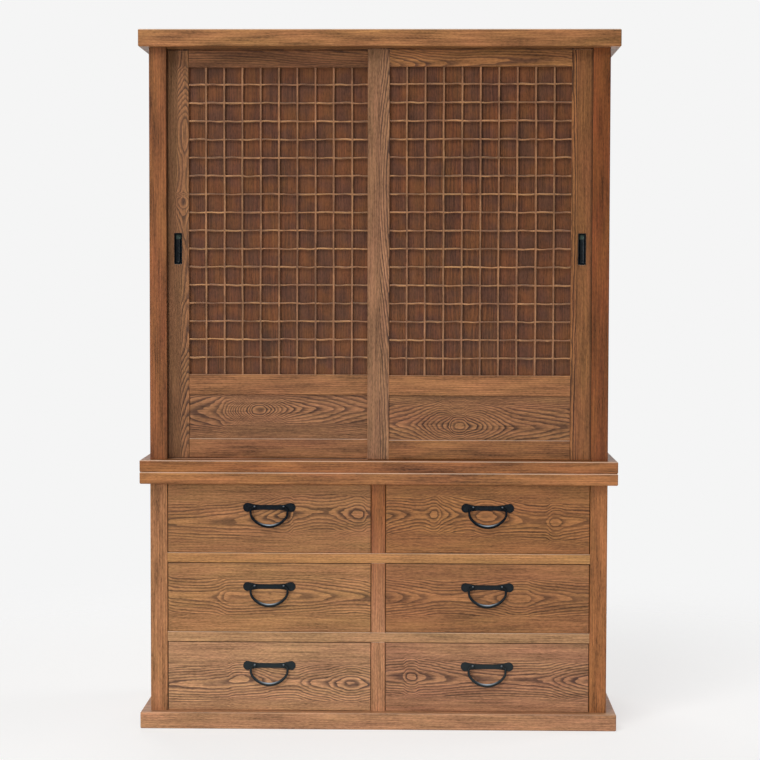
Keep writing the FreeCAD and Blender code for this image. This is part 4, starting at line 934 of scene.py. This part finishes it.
def bail_path():
    """Right half from the middle of the grip: a flat arc, a rounder corner, a straight side, a small
    shoulder and the end that turns into the eye. The left half mirrors it."""
    inner = bail_half - corner
    drop = bail_drop - side_drop
    grip = (inner ** 2 + drop ** 2 - corner ** 2) / (2 * (drop - corner))
    grip_z = grip - bail_drop
    turn = -math.atan2(grip_z + side_drop, inner)
    parts = []
    for centre_x, centre_z, radius, start, end, count in (
            (0, grip_z, grip, -math.pi / 2, turn, 14), (inner, -side_drop, corner, turn, 0, 12),
            (bail_half - shoulder, -shoulder, shoulder, 0, math.pi / 2, 8)):
        angle = np.linspace(start, end, count)
        parts.append(np.stack([centre_x + radius * np.cos(angle),
                               centre_z + radius * np.sin(angle)], axis=-1))
    end_x = bail_half - shoulder - eye_end
    half = np.vstack([parts[0], parts[1][1:], parts[2], [(end_x, 0)]])
    return np.vstack([half[::-1] * (-1, 1), half[1:]])[::-1]


def rod(name, path, radii, sides, material):
    """A round rod: circles square to a flat path in the XZ plane, each with its own radius."""
    ahead = np.gradient(path, axis=0)
    ahead /= np.linalg.norm(ahead, axis=1, keepdims=True)
    across = np.cross(ahead, BACK)
    turn = np.linspace(0, 2 * np.pi, sides, endpoint=False)[None, :, None]
    circle = np.cos(turn) * across[:, None] - np.sin(turn) * np.array(BACK)
    return closed_mesh(name, path[:, None] + radii[:, None, None] * circle, material)


for place_name in fronts:
    name = f"{place_name}_drawer"
    low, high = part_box(f"{name}_handle")
    face, inside = (side.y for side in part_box(f"{name}_front"))
    middle = Vector(((low.x + high.x) / 2, face, (low.z + high.z) / 2))
    plate = handle_plate(f"{name}_plate_forged", middle)
    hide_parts(f"{name}_handle")
    pivot = face - plate_thickness - pin_standoff
    pins = np.array([(middle.x + side * pin_half_spacing, pivot, middle.z) for side in (-1, 1)])
    rings = eyes(f"{name}_eyes", pins)
    # The eyes carry a faint painted glint.
    mark_painted_glint(rings, np.full(len(rings.data.vertices), eye_shine))
    shank = np.full((2, 2), pin_half)
    to_eye = np.array([(0, inside - pivot, 0), (0, eye_foot, 0)])
    shanks = bar_mesh(f"{name}_shanks", pins[:, None] + to_eye, shank, shank, RIGHT, UP, iron)
    clinch = inside - pivot + leg_half
    across = np.array([(-leg_reach, clinch, 0), (leg_reach, clinch, 0)])
    legs = bar_mesh(f"{name}_legs", pins[:, None] + across, np.full((2, 2), leg_half), shank,
                    BACK, UP, iron)
    for piece in (plate, rings, shanks, legs):
        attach(piece, name)
    flat = bail_path()
    path = upright_row(middle, flat[:, 0], flat[:, 1], pivot)
    radii = thin + (thick - thin) * (flat[:, 1] / bail_drop) ** 2
    bail = rod(f"{name}_bail_forged", path, radii, bail_sides, iron)
    # A painted highlight along the bottom of the grip, the part that hands polish.
    mark_painted_glint(bail, np.repeat((flat[:, 1] / bail_drop) ** 10, bail_sides))
    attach(bail, f"{name}_bail")
    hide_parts(f"{name}_bail")


# Door pulls
# Each is one piece of thin iron beaten into a long scoop and let into the outer stile, with a
# flat rim that stands a little proud. A painted highlight lies as a pale patch on the middle of its
# floor.

scoop_iron, tree = new_material("scoop_iron")
spot = node(tree, "ShaderNodeTexCoord")["Object"]
beaten = node(tree, "ShaderNodeTexNoise", spot, None, 160.0, 3.0)[0]
cold = mix_colours(tree, ramp(tree, beaten, 0.35, 0.7, 0, 1),
                   (0.002, 0.004, 0.006), (0.006, 0.010, 0.014))
x, _, height = position(tree, spot)
pull_x = 0.508
aside = maths(tree, "ABSOLUTE", maths(tree, "SUBTRACT", maths(tree, "ABSOLUTE", x), pull_x))
# Painted highlight: a pale greenish patch on the scoop's floor.
painted_highlight_patch = maths(tree, "MULTIPLY", ramp(tree, height, 1.233, 1.238, 0, 1),
                ramp(tree, height, 1.244, 1.248, 1, 0))
painted_highlight_patch = maths(tree, "MULTIPLY", painted_highlight_patch, ramp(tree, aside, 0.0045, 0.0070, 1, 0))
cold = mix_colours(tree, painted_highlight_patch, cold, (0.040, 0.062, 0.050))
dents = node(tree, "ShaderNodeBump", 0.15, 0.0008, 1.0, beaten)["Normal"]
shader = principled(tree, cold, ramp(tree, beaten, 0.2, 0.8, 0.12, 0.24), 0.10, dents)
node(tree, "ShaderNodeOutputMaterial", shader)


def rounded_outline(half_x, half_z, corner, count=7):
    """A rectangle with round corners, anticlockwise: four quarter circles about its inner corners."""
    turn = np.linspace(0, np.pi / 2, count)[None, :] + np.arange(4)[:, None] * np.pi / 2
    side_x = np.array([1, -1, -1, 1])[:, None] * (half_x - corner)
    side_z = np.array([1, 1, -1, -1])[:, None] * (half_z - corner)
    return (side_x + corner * np.cos(turn)).ravel(), (side_z + corner * np.sin(turn)).ravel()


lip = 0.0004
rim = 0.0018
slope = 0.0078
hollow = 0.0068
for door in ("left_door", "right_door"):
    low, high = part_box(f"{door}_pull")
    middle = (low + high) / 2
    half_x, half_z = (high.x - low.x) / 2, (high.z - low.z) / 2
    steps = [(0.0005, high.y, 0.0015), (0.0002, low.y + lip, 0.0015), (0.0004, low.y, 0.0014),
             (0.0015, low.y, 0.0016), (rim, low.y + lip, 0.0018)]
    for turn in np.linspace(0.12, 1.45, 10):
        inset = rim + slope * (1 - math.cos(turn))
        steps.append((inset, low.y + lip + hollow * math.sin(turn),
                      min(0.005, (half_x - inset) * 0.95)))
    rows = []
    for inset, depth, corner in steps:
        rows.append(upright_row(middle, *rounded_outline(half_x - inset, half_z - inset, corner), depth))
    scoop = closed_mesh(f"{door}_scoop", np.array(rows), scoop_iron)
    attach(scoop, door)
    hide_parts(f"{door}_pull")
